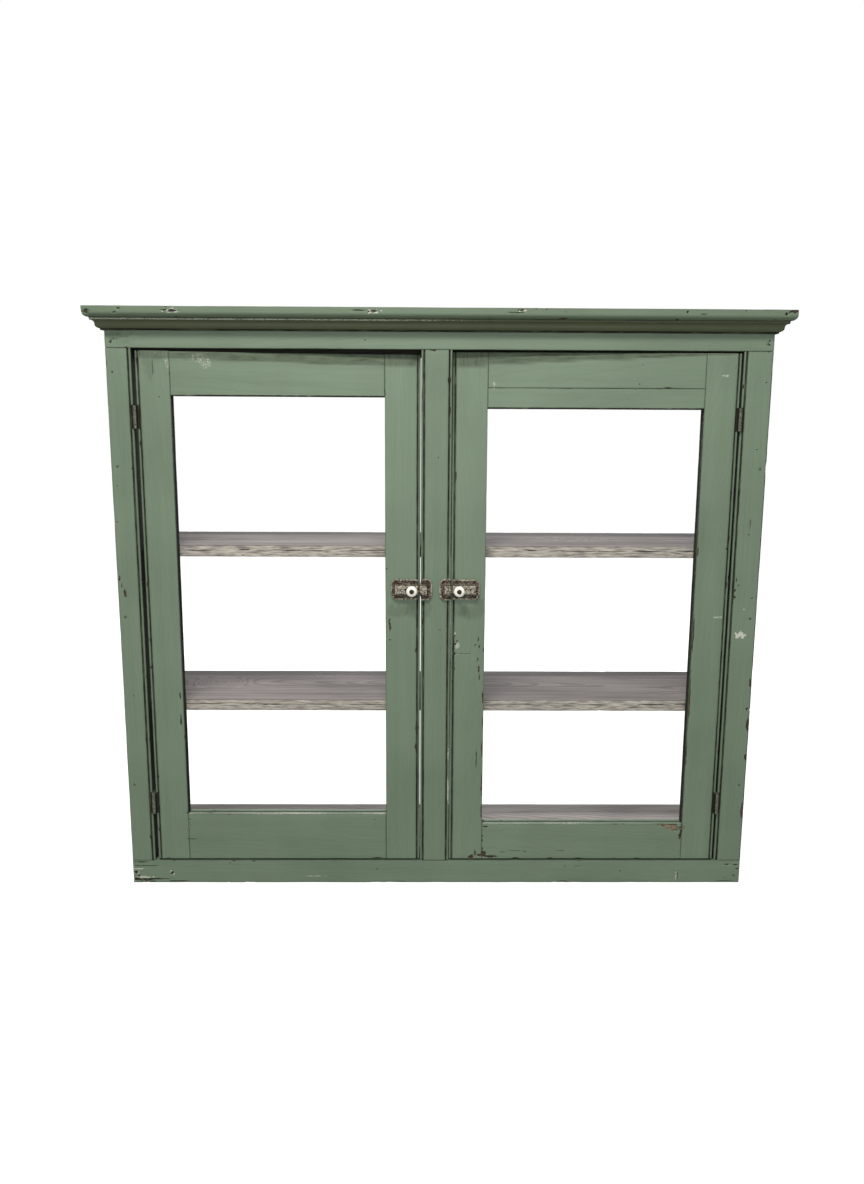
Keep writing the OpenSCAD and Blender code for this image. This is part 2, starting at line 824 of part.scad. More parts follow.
// The stud runs from the bolt through the knob and ends in a domed head
module knob_stud(side) {
    dome_r = (stud_head_r * stud_head_r + stud_head_out * stud_head_out) / (2 * stud_head_out);
    head_back = knob_front + stud_head_out - stud_head_h;
    color(steel) at_catch(side)
        translate([knob_x, 0, 0]) rotate([90, 0, 0]) {
            translate([0, 0, bolt_back]) cylinder(h = head_back - bolt_back, r = stud_r);
            intersection() {
                translate([0, 0, head_back]) cylinder(h = stud_head_h, r = stud_head_r);
                translate([0, 0, knob_front + stud_head_out - dome_r]) sphere(dome_r, $fn = 96);
            }
        }
}

// A point on the spring's wire: turn t of the coil and angle a round the wire
function spring_point(t, a) =
    let (x0 = bolt_tail_x + spring_wire_r,
         x1 = plate_x + box_l - box_wall - spring_wire_r,
         reach = spring_r + spring_wire_r * cos(a))
    [x0 + (x1 - x0) * t / spring_turns + spring_wire_r * sin(a), reach * cos(360 * t), reach * sin(360 * t)];

// A coil spring between the bolt's tail and the far wall of the case
module catch_spring(side) {
    steps = 18;
    sides = 8;
    rings = spring_turns * steps;
    points = [for (i = [0 : rings]) for (k = [0 : sides - 1]) spring_point(i / steps, -360 * k / sides)];
    skin = [for (i = [0 : rings - 1]) for (k = [0 : sides - 1]) [
        i * sides + k, i * sides + (k + 1) % sides,
        (i + 1) * sides + (k + 1) % sides, (i + 1) * sides + k
    ]];
    start = [for (k = [sides - 1 : -1 : 0]) k];
    end = [for (k = [0 : sides - 1]) rings * sides + k];
    color(steel) at_catch(side)
        translate([0, -(bolt_back + bolt_front) / 2, 0])
            polyhedron(points, concat(skin, [start, end]));
}

module catch_screws(side) {
    color(steel) at_catch(side)
        difference() {
            catch_screw_set(0);
            for (x = [plate_x + 6, plate_x + plate_l - 8])
                for (z = [-catch_screw_z, catch_screw_z]) head_slot(x, z);
        }
}

// The keeper: a plate with a hollow box whose mouth looks at the bolt
module keeper(side) {
    overlap = side == LEFT ? left_keeper_overlap : right_keeper_overlap;
    room = bolt_h / 2 + 0.5;
    color(iron) at_keeper(side)
        difference() {
            union() {
                raise_front(plate_t) plate_outline(0, keeper_l, keeper_h);
                cast_box(-overlap, keeper_box_l + overlap, box_h, box_out - 0.5);
            }
            translate([-overlap - cut, -bolt_front - 0.9, -room])
                cube([keeper_box_l + overlap - box_wall + cut, bolt_front + 0.9 + cut, 2 * room]);
            keeper_screw_set(screw_clearance);
        }
}

module keeper_screws() {
    color(steel)
        for (side = [LEFT, RIGHT]) at_keeper(side)
            difference() {
                keeper_screw_set(0);
                for (z = [-catch_screw_z, catch_screw_z]) head_slot(keeper_screw_x, z);
            }
}

module left_catch_case() { catch_case(LEFT); }
module left_catch_bolt() { catch_bolt(LEFT); }
module left_catch_knob() { catch_knob(LEFT); }
module left_knob_stud() { knob_stud(LEFT); }
module left_catch_spring() { catch_spring(LEFT); }
module left_catch_screws() { catch_screws(LEFT); }
module left_keeper() { keeper(LEFT); }
module right_catch_case() { catch_case(RIGHT); }
module right_catch_bolt() { catch_bolt(RIGHT); }
module right_catch_knob() { catch_knob(RIGHT); }
module right_knob_stud() { knob_stud(RIGHT); }
module right_catch_spring() { catch_spring(RIGHT); }
module right_catch_screws() { catch_screws(RIGHT); }
module right_keeper() { keeper(RIGHT); }

side_left();
side_right();
bottom_board();
lower_shelf();
upper_shelf();
tie_rail();
base_rail();
frieze_rail();
stile_left();
stile_right();
centre_post();
top_board();
cornice_front();
cornice_return_left();
cornice_return_right();
case_nails();
left_door_hinged_stile();
left_door_free_stile();
left_door_top_rail();
left_door_bottom_rail();
right_door_hinged_stile();
right_door_free_stile();
right_door_top_rail();
right_door_top_strip();
right_door_bottom_rail();
left_upper_frame_leaf();
left_upper_door_leaf();
left_upper_hinge_pin();
left_lower_frame_leaf();
left_lower_door_leaf();
left_lower_hinge_pin();
right_upper_frame_leaf();
right_upper_door_leaf();
right_upper_hinge_pin();
right_lower_frame_leaf();
right_lower_door_leaf();
right_lower_hinge_pin();
frame_hinge_screws();
left_door_hinge_screws();
right_door_hinge_screws();
left_catch_case();
left_catch_bolt();
left_catch_knob();
left_knob_stud();
left_catch_spring();
left_catch_screws();
left_keeper();
right_catch_case();
right_catch_bolt();
right_catch_knob();
right_knob_stud();
right_catch_spring();
right_catch_screws();
right_keeper();
keeper_screws();
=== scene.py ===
"""A painted wall cupboard, dressed round its CAD frame: worn boards, hinges, cast catches and china knobs."""

import math
from collections import namedtuple

import bmesh
import bpy
import numpy as np
from mathutils import Matrix, Vector


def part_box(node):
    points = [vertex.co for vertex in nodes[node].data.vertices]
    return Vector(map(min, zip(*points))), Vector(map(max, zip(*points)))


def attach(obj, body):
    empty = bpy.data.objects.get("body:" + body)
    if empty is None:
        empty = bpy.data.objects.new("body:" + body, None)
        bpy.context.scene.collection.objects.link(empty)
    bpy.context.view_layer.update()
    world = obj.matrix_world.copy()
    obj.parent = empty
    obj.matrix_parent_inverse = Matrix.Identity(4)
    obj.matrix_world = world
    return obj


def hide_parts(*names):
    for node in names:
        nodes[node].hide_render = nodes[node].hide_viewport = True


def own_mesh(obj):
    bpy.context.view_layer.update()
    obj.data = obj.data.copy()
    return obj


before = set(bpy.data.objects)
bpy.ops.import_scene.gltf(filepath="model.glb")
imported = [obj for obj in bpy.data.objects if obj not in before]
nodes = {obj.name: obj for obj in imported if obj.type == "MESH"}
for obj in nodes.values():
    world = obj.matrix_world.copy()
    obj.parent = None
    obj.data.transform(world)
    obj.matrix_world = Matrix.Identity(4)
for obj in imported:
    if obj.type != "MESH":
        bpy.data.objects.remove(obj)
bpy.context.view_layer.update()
mm = 0.001

# ---------------------------------------------------------------- places taken from the frame

RAIL_LOW, RAIL_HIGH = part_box("base_rail")
FRIEZE_LOW, FRIEZE_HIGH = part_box("frieze_rail")
FACE_Y = RAIL_LOW.y
HALF_W = RAIL_HIGH.x

BEAD_W = 3.5 * mm
QUIRK_W = 1.6 * mm
QUIRK_D = 2.6 * mm
GROOVE_W = 5 * mm
GROOVE_D = 6 * mm
EDGE_R = 0.9 * mm
MOULDING_FOOT = 4 * mm
OGEE_R = 5.5 * mm
LOWER_FILLET = 2.2 * mm
TOP_ROUND = 7.5 * mm

# Each door is twisted: its top free corner stands back from the frame's face
TWIST_FROM_Z = 0.47
TWIST = {"left": 11 * mm, "right": 9 * mm}

# Damp has swollen each door towards the centre post
SWOLLEN = {"left": 1.15 * mm, "right": 0.6 * mm}

# Painted shadow of the frieze, with some dirt, lies along the top of each door: its depth at the hinged and at
# the free edge
TOP_SHADOW_AND_DIRT = {"left": (9 * mm, 21 * mm), "right": (1 * mm, 20 * mm)}


def at_face(x, z, behind=0.0):
    """A point on the cupboard's front, in millimetres across and up, and behind the face."""
    return Vector((x * mm, FACE_Y + behind * mm, z * mm))


# ---------------------------------------------------------------- noise

LATTICE = np.random.RandomState(11).uniform(-1, 1, 4096)


def noise(points, size, seed=0):
    """Smooth noise from -1 to 1 in lumps of that size, which is one length or one for each axis."""
    scaled = points / size
    cell = np.floor(scaled).astype(np.int64)
    inside = scaled - cell
    inside = inside * inside * (3 - 2 * inside)
    total = np.zeros(len(points))
    for corner in np.ndindex(2, 2, 2):
        weight = np.prod(np.where(corner, inside, 1 - inside), axis=1)
        x, y, z = (cell + corner).T
        key = (x * 73856093) ^ (y * 19349663) ^ (z * 83492791) ^ (seed * 9973)
        total += weight * LATTICE[key & 4095]
    return total


def rough(points, size, seed=0):
    """Noise with two finer layers."""
    size = np.asarray(size)
    return (
        noise(points, size, seed)
        + 0.5 * noise(points, size / 2.1, seed + 1)
        + 0.25 * noise(points, size / 4.3, seed + 2)
    )


def smooth_step(low, high, value):
    t = np.clip((value - low) / (high - low), 0, 1)
    return t * t * (3 - 2 * t)


# ---------------------------------------------------------------- marks of age

# at: its middle; reach: half its size on each axis; depth: how far it sinks; wear, darkening (grime and painted
# shade), pale: its looks
Mark = namedtuple("Mark", "at reach depth wear grime pale ragged")


def chip(x, z, width, height, depth=1.2, behind=0.0, deep=6.0):
    """Paint and wood knocked off."""
    reach = Vector((width, deep, height)) * mm / 2
    return Mark(at_face(x, z, behind), reach, depth * mm, 1.0, 0.0, 0.0, 0.4)


def hole(x, z, width=2.4, behind=0.0):
    """A small deep hole."""
    reach = Vector((width, 3 * width, width)) * mm / 2
    return Mark(at_face(x, z, behind), reach, 2.4 * mm, 0.0, 1.6, 0.0, 0.1)


def crack(x, z, length, width=1.1, upright=False, behind=0.0):
    """A split along the grain."""
    size = (width, 6, length) if upright else (length, 6, width)
    return Mark(at_face(x, z, behind), Vector(size) * mm / 2, 1.3 * mm, 0.0, 1.5, 0.0, 0.25)


def stain(x, z, width, height, strength=0.6, behind=0.0):
    """Dirt held in the paint."""
    reach = Vector((width, 30, height)) * mm / 2
    return Mark(at_face(x, z, behind), reach, 0.0, 0.0, strength, 0.0, 0.7)


def scuff(x, z, width, height, strength=1.0, behind=0.0):
    """A pale scrape."""
    reach = Vector((width, 12, height)) * mm / 2
    return Mark(at_face(x, z, behind), reach, 0.0, 0.0, 0.0, strength, 0.5)


def knock(x, z, width, height, behind=0.0):
    """A dent with a black middle and a pale rim."""
    rim = scuff(x, z, width * 1.5, height * 1.4, 1.0, behind)
    reach = Vector((width * 1.15, 6, height * 1.1)) * mm / 2
    return [rim, Mark(at_face(x, z, behind), reach, 1.0 * mm, 0.0, 1.7, 0.0, 0.4)]


def nail_mark(place):
    """The painted dimple over a nail's head."""
    return Mark(place, Vector((2.9, 2.9, 2.9)) * mm, 0.3 * mm, 0.0, 0.35, 0.0, 0.15)


def find_nails():
    """Each nail head's middle and the way it points out, from the CAD node that holds all the nails."""
    mesh = bmesh.new()
    mesh.from_mesh(nodes["case_nails"].data)
    bmesh.ops.remove_doubles(mesh, verts=mesh.verts, dist=1e-6)
    unseen = set(mesh.verts)
    heads = []
    while unseen:
        island, todo = set(), [unseen.pop()]
        while todo:
            vertex = todo.pop()
            island.add(vertex)
            linked = {edge.other_vert(vertex) for edge in vertex.link_edges} & unseen
            unseen -= linked
            todo += linked
        places = np.array([v.co for v in island])
        low, high = places.min(0), places.max(0)
        along = int(np.argmax(high - low))
        middle = (low + high) / 2
        end_low = places[places[:, along] < low[along] + 0.3 * mm]
        end_high = places[places[:, along] > high[along] - 0.3 * mm]
        head_is_low = np.ptp(end_low, axis=0).max() > np.ptp(end_high, axis=0).max()
        middle[along] = low[along] if head_is_low else high[along]
        out = Vector((0, 0, 0))
        out[along] = -1 if head_is_low else 1
        heads.append((Vector(middle), out))
    mesh.free()
    return heads


NAILS = find_nails()
NAIL_MARKS = [nail_mark(place) for place, out in NAILS]


# ---------------------------------------------------------------- meshes

# A surface before ageing: points and outward normals, distances to the nearest edge and inner corner
Surface = namedtuple("Surface", "points normals edge recess faces")


def graded(start, end, coarse, spots):
    """Places from start to end, coarse apart and finer round each spot (place, half width, fine step)."""
    places = [start]
    while places[-1] < end:
        here = places[-1]
        step = coarse
        for place, half, fine in spots:
            step = min(step, fine + 0.5 * max(0.0, abs(here - place) - half))
        places.append(here + step)
    places = np.array(places)
    return start + (places - start) * (end - start) / (places[-1] - start)


def fine_step(mark, axis):
    """How close the mesh's lines come at a mark, on one axis."""
    smallest = 0.8 * mm if mark.depth else 3 * mm
    return max(smallest, mark.reach[axis] / 4)


def nearby(marks, low, high):
    """The marks that reach into a box."""
    return [
        mark
        for mark in marks
        if all(low[k] - mark.reach[k] < mark.at[k] < high[k] + mark.reach[k] for k in range(3))
    ]


def mark_spots(marks, axis):
    return [(mark.at[axis], mark.reach[axis], fine_step(mark, axis)) for mark in marks]


def block(low, high, radius=EDGE_R, marks=(), coarse=6 * mm):
    """A board with rounded edges, as a grid on all six sides."""
    lines = []
    for axis in range(3):
        ends = [(low[axis], radius, 0.35 * mm), (high[axis], radius, 0.35 * mm)]
        lines.append(graded(low[axis], high[axis], coarse, ends + mark_spots(marks, axis)))
    counts = [len(line) for line in lines]
    number = -np.ones(counts, np.int64)
    on_surface = np.zeros(counts, bool)
    for axis in range(3):
        side = [slice(None)] * 3
        for end in (0, -1):
            side[axis] = end
            on_surface[tuple(side)] = True
    number[on_surface] = np.arange(on_surface.sum())
    where = np.argwhere(on_surface)
    flat = np.stack([lines[axis][where[:, axis]] for axis in range(3)], axis=1)

    faces = []
    for axis in range(3):
        for end in (0, -1):
            grid = np.take(number, end, axis=axis)
            quad_corners = (grid[:-1, :-1], grid[1:, :-1], grid[1:, 1:], grid[:-1, 1:])
            quads = np.stack(quad_corners, axis=-1).reshape(-1, 4)
            outward = (end == -1) != (axis == 1)
            faces.append(quads if outward else quads[:, ::-1])

    corner_low = np.array(low) + radius
    corner_high = np.array(high) - radius
    core = np.clip(flat, corner_low, corner_high)
    away = flat - core
    length = np.linalg.norm(away, axis=1, keepdims=True)
    normals = away / length
    points = core + normals * radius
    to_sides = np.sort(np.minimum(flat - np.array(low), np.array(high) - flat), axis=1)
    return Surface(points, normals, to_sides[:, 1], np.full(len(points), 1.0), np.concatenate(faces))


def arc(previous, corner, following, radius):
    """A corner of a section: one point, or an arc of that radius."""
    if radius == 0:
        return [corner]
    back = (previous - corner) / np.linalg.norm(previous - corner)
    ahead = (following - corner) / np.linalg.norm(following - corner)
    half = math.acos(np.clip(back @ ahead, -1, 1)) / 2
    middle = back + ahead
    centre = corner + middle / np.linalg.norm(middle) * radius / math.sin(half)
    first = corner + back * radius / math.tan(half) - centre
    turn = math.pi - 2 * half
    if first[0] * (corner - centre)[1] - first[1] * (corner - centre)[0] < 0:
        turn = -turn
    steps = 4 if radius < 2 * mm else 9
    angles = np.linspace(0, turn, steps + 1)
    return [
        centre
        + np.array(
            [
                math.cos(a) * first[0] - math.sin(a) * first[1],
                math.sin(a) * first[0] + math.cos(a) * first[1],
            ]
        )
        for a in angles
    ]


def section(corners, spots, coarse):
    """A closed outline, counter-clockwise, from corners (u, v, radius): its points, normals and distances."""
    sharp = [np.array(corner[:2]) for corner in corners]
    count = len(corners)
    arcs = [arc(sharp[k - 1], sharp[k], sharp[(k + 1) % count], corners[k][2]) for k in range(count)]
    turns = [np.cross(sharp[k] - sharp[k - 1], sharp[(k + 1) % count] - sharp[k]) for k in range(count)]
    outline = []
    for k in range(count):
        outline += arcs[k]
        start, end = arcs[k][-1], arcs[(k + 1) % count][0]
        length = np.linalg.norm(end - start)
        if length < 0.05 * mm:
            continue
        along = (end - start) / length
        ends = [(0.0, 0.6 * mm, 0.4 * mm), (length, 0.6 * mm, 0.4 * mm)]
        inner = [(float((np.array(place) - start) @ along), half, fine) for place, half, fine in spots]
        for s in graded(0.0, length, coarse, ends + inner)[1:-1]:
            outline.append(start + along * s)
    outline = np.array(outline)
    keep = np.linalg.norm(outline - np.roll(outline, 1, axis=0), axis=1) > 1e-6
    outline = outline[keep]
    ahead = np.roll(outline, -1, axis=0) - np.roll(outline, 1, axis=0)
    normals = np.stack([ahead[:, 1], -ahead[:, 0]], axis=1)
    normals /= np.linalg.norm(normals, axis=1, keepdims=True)

    def distance(wanted):
        chosen = [sharp[k] for k in range(count) if wanted(turns[k])]
        if not chosen:
            return np.full(len(outline), 1.0)
        return np.min([np.linalg.norm(outline - corner, axis=1) for corner in chosen], axis=0)

    return outline, normals, distance(lambda turn: turn > 0), distance(lambda turn: turn < 0)


# The two axes of a section's plane and the axis that it is swept along
PLANES = {"X": (1, 2, 0), "Y": (2, 0, 1), "Z": (0, 1, 2)}


def swept(corners, axis, start, end, marks=(), stops=(), coarse=6 * mm, end_r=0.7 * mm):
    """A moulded board: a section swept along an axis, with eased ends.

    Stops are places where its shape steps.
    """
    u_axis, v_axis, w_axis = PLANES[axis]
    spots = [
        (
            (mark.at[u_axis], mark.at[v_axis]),
            max(mark.reach[u_axis], mark.reach[v_axis]),
            min(fine_step(mark, u_axis), fine_step(mark, v_axis)),
        )
        for mark in marks
    ]
    outline, normals, edge, recess = section(corners, spots, coarse)
    places = [start]
    ends = [(start, end_r, 0.4 * mm), (end, end_r, 0.4 * mm)]
    steps = [(stop + side * 0.05 * mm, 0.0, 1.0 * mm) for stop in stops for side in (-1, 1)]
    limits = sorted([start, end] + [step[0] for step in steps])
    for low, high in zip(limits[:-1], limits[1:]):
        places += list(graded(low, high, coarse, ends + steps + mark_spots(marks, w_axis))[1:])
    places = np.array(places)

    rings, count = len(places), len(outline)
    to_end = np.minimum(places - start, end - places)
    inset = end_r - np.sqrt(np.maximum(0, end_r**2 - np.clip(end_r - to_end, 0, end_r) ** 2))
    points = np.zeros((rings, count, 3))
    directions = np.zeros((rings, count, 3))
    for column, plane_axis in enumerate((u_axis, v_axis)):
        points[:, :, plane_axis] = outline[None, :, column] - inset[:, None] * normals[None, :, column]
        directions[:, :, plane_axis] = normals[None, :, column]
    points[:, :, w_axis] = places[:, None]
    ring = np.arange(count)
    faces = [
        np.stack(
            [
                ring + k * count,
                np.roll(ring, -1) + k * count,
                np.roll(ring, -1) + (k + 1) * count,
                ring + (k + 1) * count,
            ],
            axis=1,
        )
        for k in range(rings - 1)
    ]
    quads = np.concatenate(faces).tolist()
    caps = [ring[::-1].tolist(), (ring + (rings - 1) * count).tolist()]
    edges = np.minimum(edge[None, :], to_end[:, None])
    return Surface(
        points.reshape(-1, 3),
        directions.reshape(-1, 3),
        edges.reshape(-1),
        np.broadcast_to(recess, (rings, count)).reshape(-1).copy(),
        quads + caps,
    )


def grain_figure(points, grain_axis, wide_axis, seed):
    """Growth rings cut lengthwise: how many rings a point is from the tree's heart."""
    thick_axis = 3 - grain_axis - wide_axis
    middle = (points.min(0) + points.max(0)) / 2
    along = np.zeros_like(points)
    along[:, 0] = points[:, grain_axis]
    drift = 30 * mm * noise(along, 0.45, seed) + 5 * mm * noise(along, 0.12, seed + 1)
    depth = 26 * mm + 16 * mm * noise(along, 0.3, seed + 2)
    across = points[:, wide_axis] - middle[wide_axis] + drift
    down = points[:, thick_axis] - middle[thick_axis] + depth
    return np.hypot(across, down) / (5.5 * mm) + 0.35 * rough(points, 0.05, seed + 3)


def add_knots(figure, points, knots):
    """Bends the figure round knots (place, radius, strength)."""
    for place, radius, strength in knots:
        away = np.linalg.norm((points - np.array(place)) / (np.array((1.7, 1, 1)) * radius), axis=1)
        figure = figure + strength * np.exp(-away * away)
    return figure


def aged(
    name,
    surface,
    grain_axis,
    wide_axis,
    seed,
    marks=(),
    abuse=0.0,
    knots=(),
    reshape=None,
    pale=None,
    dirt=None,
):
    """Turns a surface into a worn, painted board: an object with the ageing in its shape and its attributes.

    reshape, pale and the dirt-and-shade function take the points and give their new places, more pale paint,
    and more dirt and painted shade on them.
    """
    points, normals = surface.points.copy(), surface.normals
    if reshape:
        points = reshape(points)
    edge = np.exp(-((surface.edge / (2.6 * mm)) ** 2))
    recess = np.exp(-((surface.recess / (1.9 * mm)) ** 2))
    rubbed = rough(points, 0.03, seed)
    nicks = rough(points, np.array((7, 7, 7)) * mm, seed + 5)

    sink = 0.06 * mm * rough(points, 0.11, seed + 9) + 0.04 * mm * noise(points, 0.012, seed + 10)
    sink += edge * mm * (0.12 + 0.3 * np.clip(rubbed, 0, 1))
    knocks = nicks + 1.2 * abuse
    nicked = smooth_step(0.95, 1.3, knocks) * smooth_step(0.25, 0.8, edge)
    sink += nicked * 0.8 * mm
    wear = edge * (0.16 + 0.26 * rubbed + 0.16 * nicks + abuse) + nicked
    seam = np.exp(-((surface.edge / (0.9 * mm)) ** 2)) * (0.8 + 0.3 * nicks)
    # Painted shade: the recess term darkens inner corners such as quirks and grooves; the seam term darkens
    # joints and arrises, and the noise adds a little dirt
    grime = 1.3 * recess + seam + 0.12 * np.clip(rough(points, 0.08, seed + 3), 0, 1)
    if dirt:
        grime = np.maximum(grime, dirt(points))
    chalk = pale(points) if pale else np.zeros(len(points))

    for mark in marks:
        offset = (points - np.array(mark.at)) / np.array(mark.reach)
        size = float(min(mark.reach))
        away = np.linalg.norm(offset, axis=1)
        near = away < 1.8
        if not near.any():
            continue
        ragged = mark.ragged * rough(points[near], max(size * 0.8, 1.2 * mm), seed + 20)
        amount = 1 - smooth_step(0.55, 1.05, away[near] + ragged)
        sink[near] += mark.depth * amount
        wear[near] = np.maximum(wear[near], mark.wear * amount)
        grime[near] = np.maximum(grime[near], mark.grime * amount)
        chalk[near] = np.maximum(chalk[near], mark.pale * amount)
    points = points - normals * sink[:, None]

    mesh = bpy.data.meshes.new(name)
    faces = surface.faces.tolist() if isinstance(surface.faces, np.ndarray) else surface.faces
    mesh.from_pydata(points.tolist(), [], faces)
    figure = add_knots(grain_figure(points, grain_axis, wide_axis, seed), points, knots)
    write_looks(mesh, wear=wear, grime=grime, pale=chalk, figure=figure)
    mesh.shade_smooth()
    mesh.set_sharp_from_angle(angle=math.radians(50))
    mesh.update()
    return placed(name, mesh)


def read_points(mesh, what="co"):
    """The places or the normals of a mesh's vertices."""
    values = np.empty(len(mesh.vertices) * 3, np.float32)
    mesh.vertices.foreach_get(what, values)
    return values.reshape(-1, 3).astype(float)


def write_points(mesh, points):
    mesh.vertices.foreach_set("co", points.astype(np.float32).ravel())
    mesh.update()


def write_looks(mesh, **looks):
    """Stores one value for each vertex under each name."""
    for name, values in looks.items():
        mesh.attributes.new(name, "FLOAT", "POINT").data.foreach_set("value", values.astype(np.float32))


def placed(name, mesh):
    """An object in the scene for a mesh."""
    piece = bpy.data.objects.new(name, mesh)
    bpy.context.scene.collection.objects.link(piece)
    return piece


def dress(piece, material, body, slot, *replaced):
    """Gives a finished piece its material and its body, and hides the CAD nodes that it stands for. Its slot is
    not used.
    """
    piece.data.materials.clear()
    piece.data.materials.append(material)
    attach(piece, body)
    if replaced:
        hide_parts(*replaced)
    return piece


# ---------------------------------------------------------------- materials


def colour(code):
    """A linear colour from a hex code."""
    parts = [int(code[k : k + 2], 16) / 255 for k in (1, 3, 5)]
    return tuple(c / 12.92 if c <= 0.04045 else ((c + 0.055) / 1.055) ** 2.4 for c in parts) + (1.0,)


class Shader:
    """A material written as calls that each return a socket."""

    def __init__(self, name):
        self.material = bpy.data.materials.new(name)
        self.material.use_nodes = True
        self.tree = self.material.node_tree
        self.surface = self.tree.nodes["Principled BSDF"]
        self.place = self.tree.nodes.new("ShaderNodeTexCoord").outputs["Object"]

    def put(self, socket, value):
        if isinstance(value, bpy.types.NodeSocket):
            self.tree.links.new(value, socket)
        else:
            socket.default_value = value

    def math(self, operation, first, second=0.0, clamp=False):
        node = self.tree.nodes.new("ShaderNodeMath")
        node.operation = operation
        node.use_clamp = clamp
        self.put(node.inputs[0], first)
        self.put(node.inputs[1], second)
        return node.outputs[0]

    def add(self, *values):
        total = values[0]
        for value in values[1:]:
            total = self.math("ADD", total, value)
        return total

    def times(self, first, second):
        return self.math("MULTIPLY", first, second)

    def attribute(self, name):
        node = self.tree.nodes.new("ShaderNodeAttribute")
        node.attribute_name = name
        return node.outputs["Fac"]

    def stretched(self, sizes):
        """Coordinates that put one lump of noise into a box of those sizes."""
        node = self.tree.nodes.new("ShaderNodeMapping")
        node.inputs["Scale"].default_value = [1 / size for size in sizes]
        self.put(node.inputs["Vector"], self.place)
        return node.outputs["Vector"]

    def noise(self, sizes, detail=2.0, roughness=0.5, distortion=0.0, centred=True):
        """Noise in lumps of those sizes, in metres; centred noise is about -0.5 to 0.5."""
        node = self.tree.nodes.new("ShaderNodeTexNoise")
        sizes = (sizes,) * 3 if isinstance(sizes, float) else sizes
        self.put(node.inputs["Vector"], self.stretched(sizes))
        node.inputs["Scale"].default_value = 1.0
        node.inputs["Detail"].default_value = detail
        node.inputs["Roughness"].default_value = roughness
        node.inputs["Distortion"].default_value = distortion
        return self.math("SUBTRACT", node.outputs["Fac"], 0.5) if centred else node.outputs["Fac"]

    def specks(self, size, share, radius):
        """Small round dots in that share of cells of a size; 1 inside a dot."""
        node = self.tree.nodes.new("ShaderNodeTexVoronoi")
        self.put(node.inputs["Vector"], self.stretched((size,) * 3))
        node.inputs["Scale"].default_value = 1.0
        chosen = self.math("LESS_THAN", self.split(node.outputs["Color"]), share)
        return self.times(chosen, self.math("LESS_THAN", node.outputs["Distance"], radius / size))

    def sideways(self):
        """How far the surface faces left or right, from 0 to 1."""
        geometry = self.tree.nodes.new("ShaderNodeNewGeometry")
        parts = self.tree.nodes.new("ShaderNodeSeparateXYZ")
        self.put(parts.inputs[0], geometry.outputs["Normal"])
        return self.math("ABSOLUTE", parts.outputs["X"], 0.0)

    def split(self, value):
        node = self.tree.nodes.new("ShaderNodeSeparateColor")
        self.put(node.inputs[0], value)
        return node.outputs[0]

    def step(self, value, low, high):
        node = self.tree.nodes.new("ShaderNodeMapRange")
        node.interpolation_type = "SMOOTHSTEP"
        self.put(node.inputs["Value"], value)
        node.inputs["From Min"].default_value = low
        node.inputs["From Max"].default_value = high
        return node.outputs["Result"]

    def mix(self, share, first, second, blend="MIX"):
        node = self.tree.nodes.new("ShaderNodeMix")
        node.data_type = "RGBA"
        node.blend_type = blend
        self.put(node.inputs["Factor"], share)
        self.put(node.inputs[6], first)
        self.put(node.inputs[7], second)
        return node.outputs[2]

    def bump(self, height, distance, strength=1.0):
        node = self.tree.nodes.new("ShaderNodeBump")
        node.inputs["Distance"].default_value = distance
        node.inputs["Strength"].default_value = strength
        self.put(node.inputs["Height"], height)
        self.put(self.surface.inputs["Normal"], node.outputs["Normal"])

    def finish(self, base, roughness, **uniform):
        self.put(self.surface.inputs["Base Color"], base)
        self.put(self.surface.inputs["Roughness"], roughness)
        for name, value in uniform.items():
            self.surface.inputs[name.replace("_", " ")].default_value = value
        return self.material


def along_grain(axis, length, width):
    """The sizes of a lump drawn out along the grain."""
    sizes = [width, width, width]
    sizes[axis] = length
    return tuple(sizes)


def growth_lines(shader, low=0.55, high=0.95):
    """Thin late-wood lines from the growth-ring attribute: 1 on a line."""
    ring = shader.math("FRACT", shader.attribute("figure"))
    rising = shader.step(ring, low, high)
    falling = shader.math("SUBTRACT", 1.0, shader.step(ring, high, 1.0))
    return shader.times(rising, falling)


GREEN = colour("#677864")
GREEN_DARK = colour("#586855")
GREEN_PALE = colour("#778771")
OLIVE = colour("#4d5338")
OLIVE_DARK = colour("#3f472f")
OLIVE_PALE = colour("#5c6447")
# Olive dark: light dirt, and the painted shadow of the frieze along the doors' tops
DUST_AND_SHADE = colour("#3d4232")
# Near black: heavy dirt and fly specks, and painted shade in gaps, notches and inner corners
DIRT_AND_SHADE = colour("#14120c")
WOOD_DARK = colour("#1f150f")
WOOD_BROWN = colour("#5a4130")
WOOD_TAN = colour("#8f7a64")
CHALK = colour("#c3c4b4")


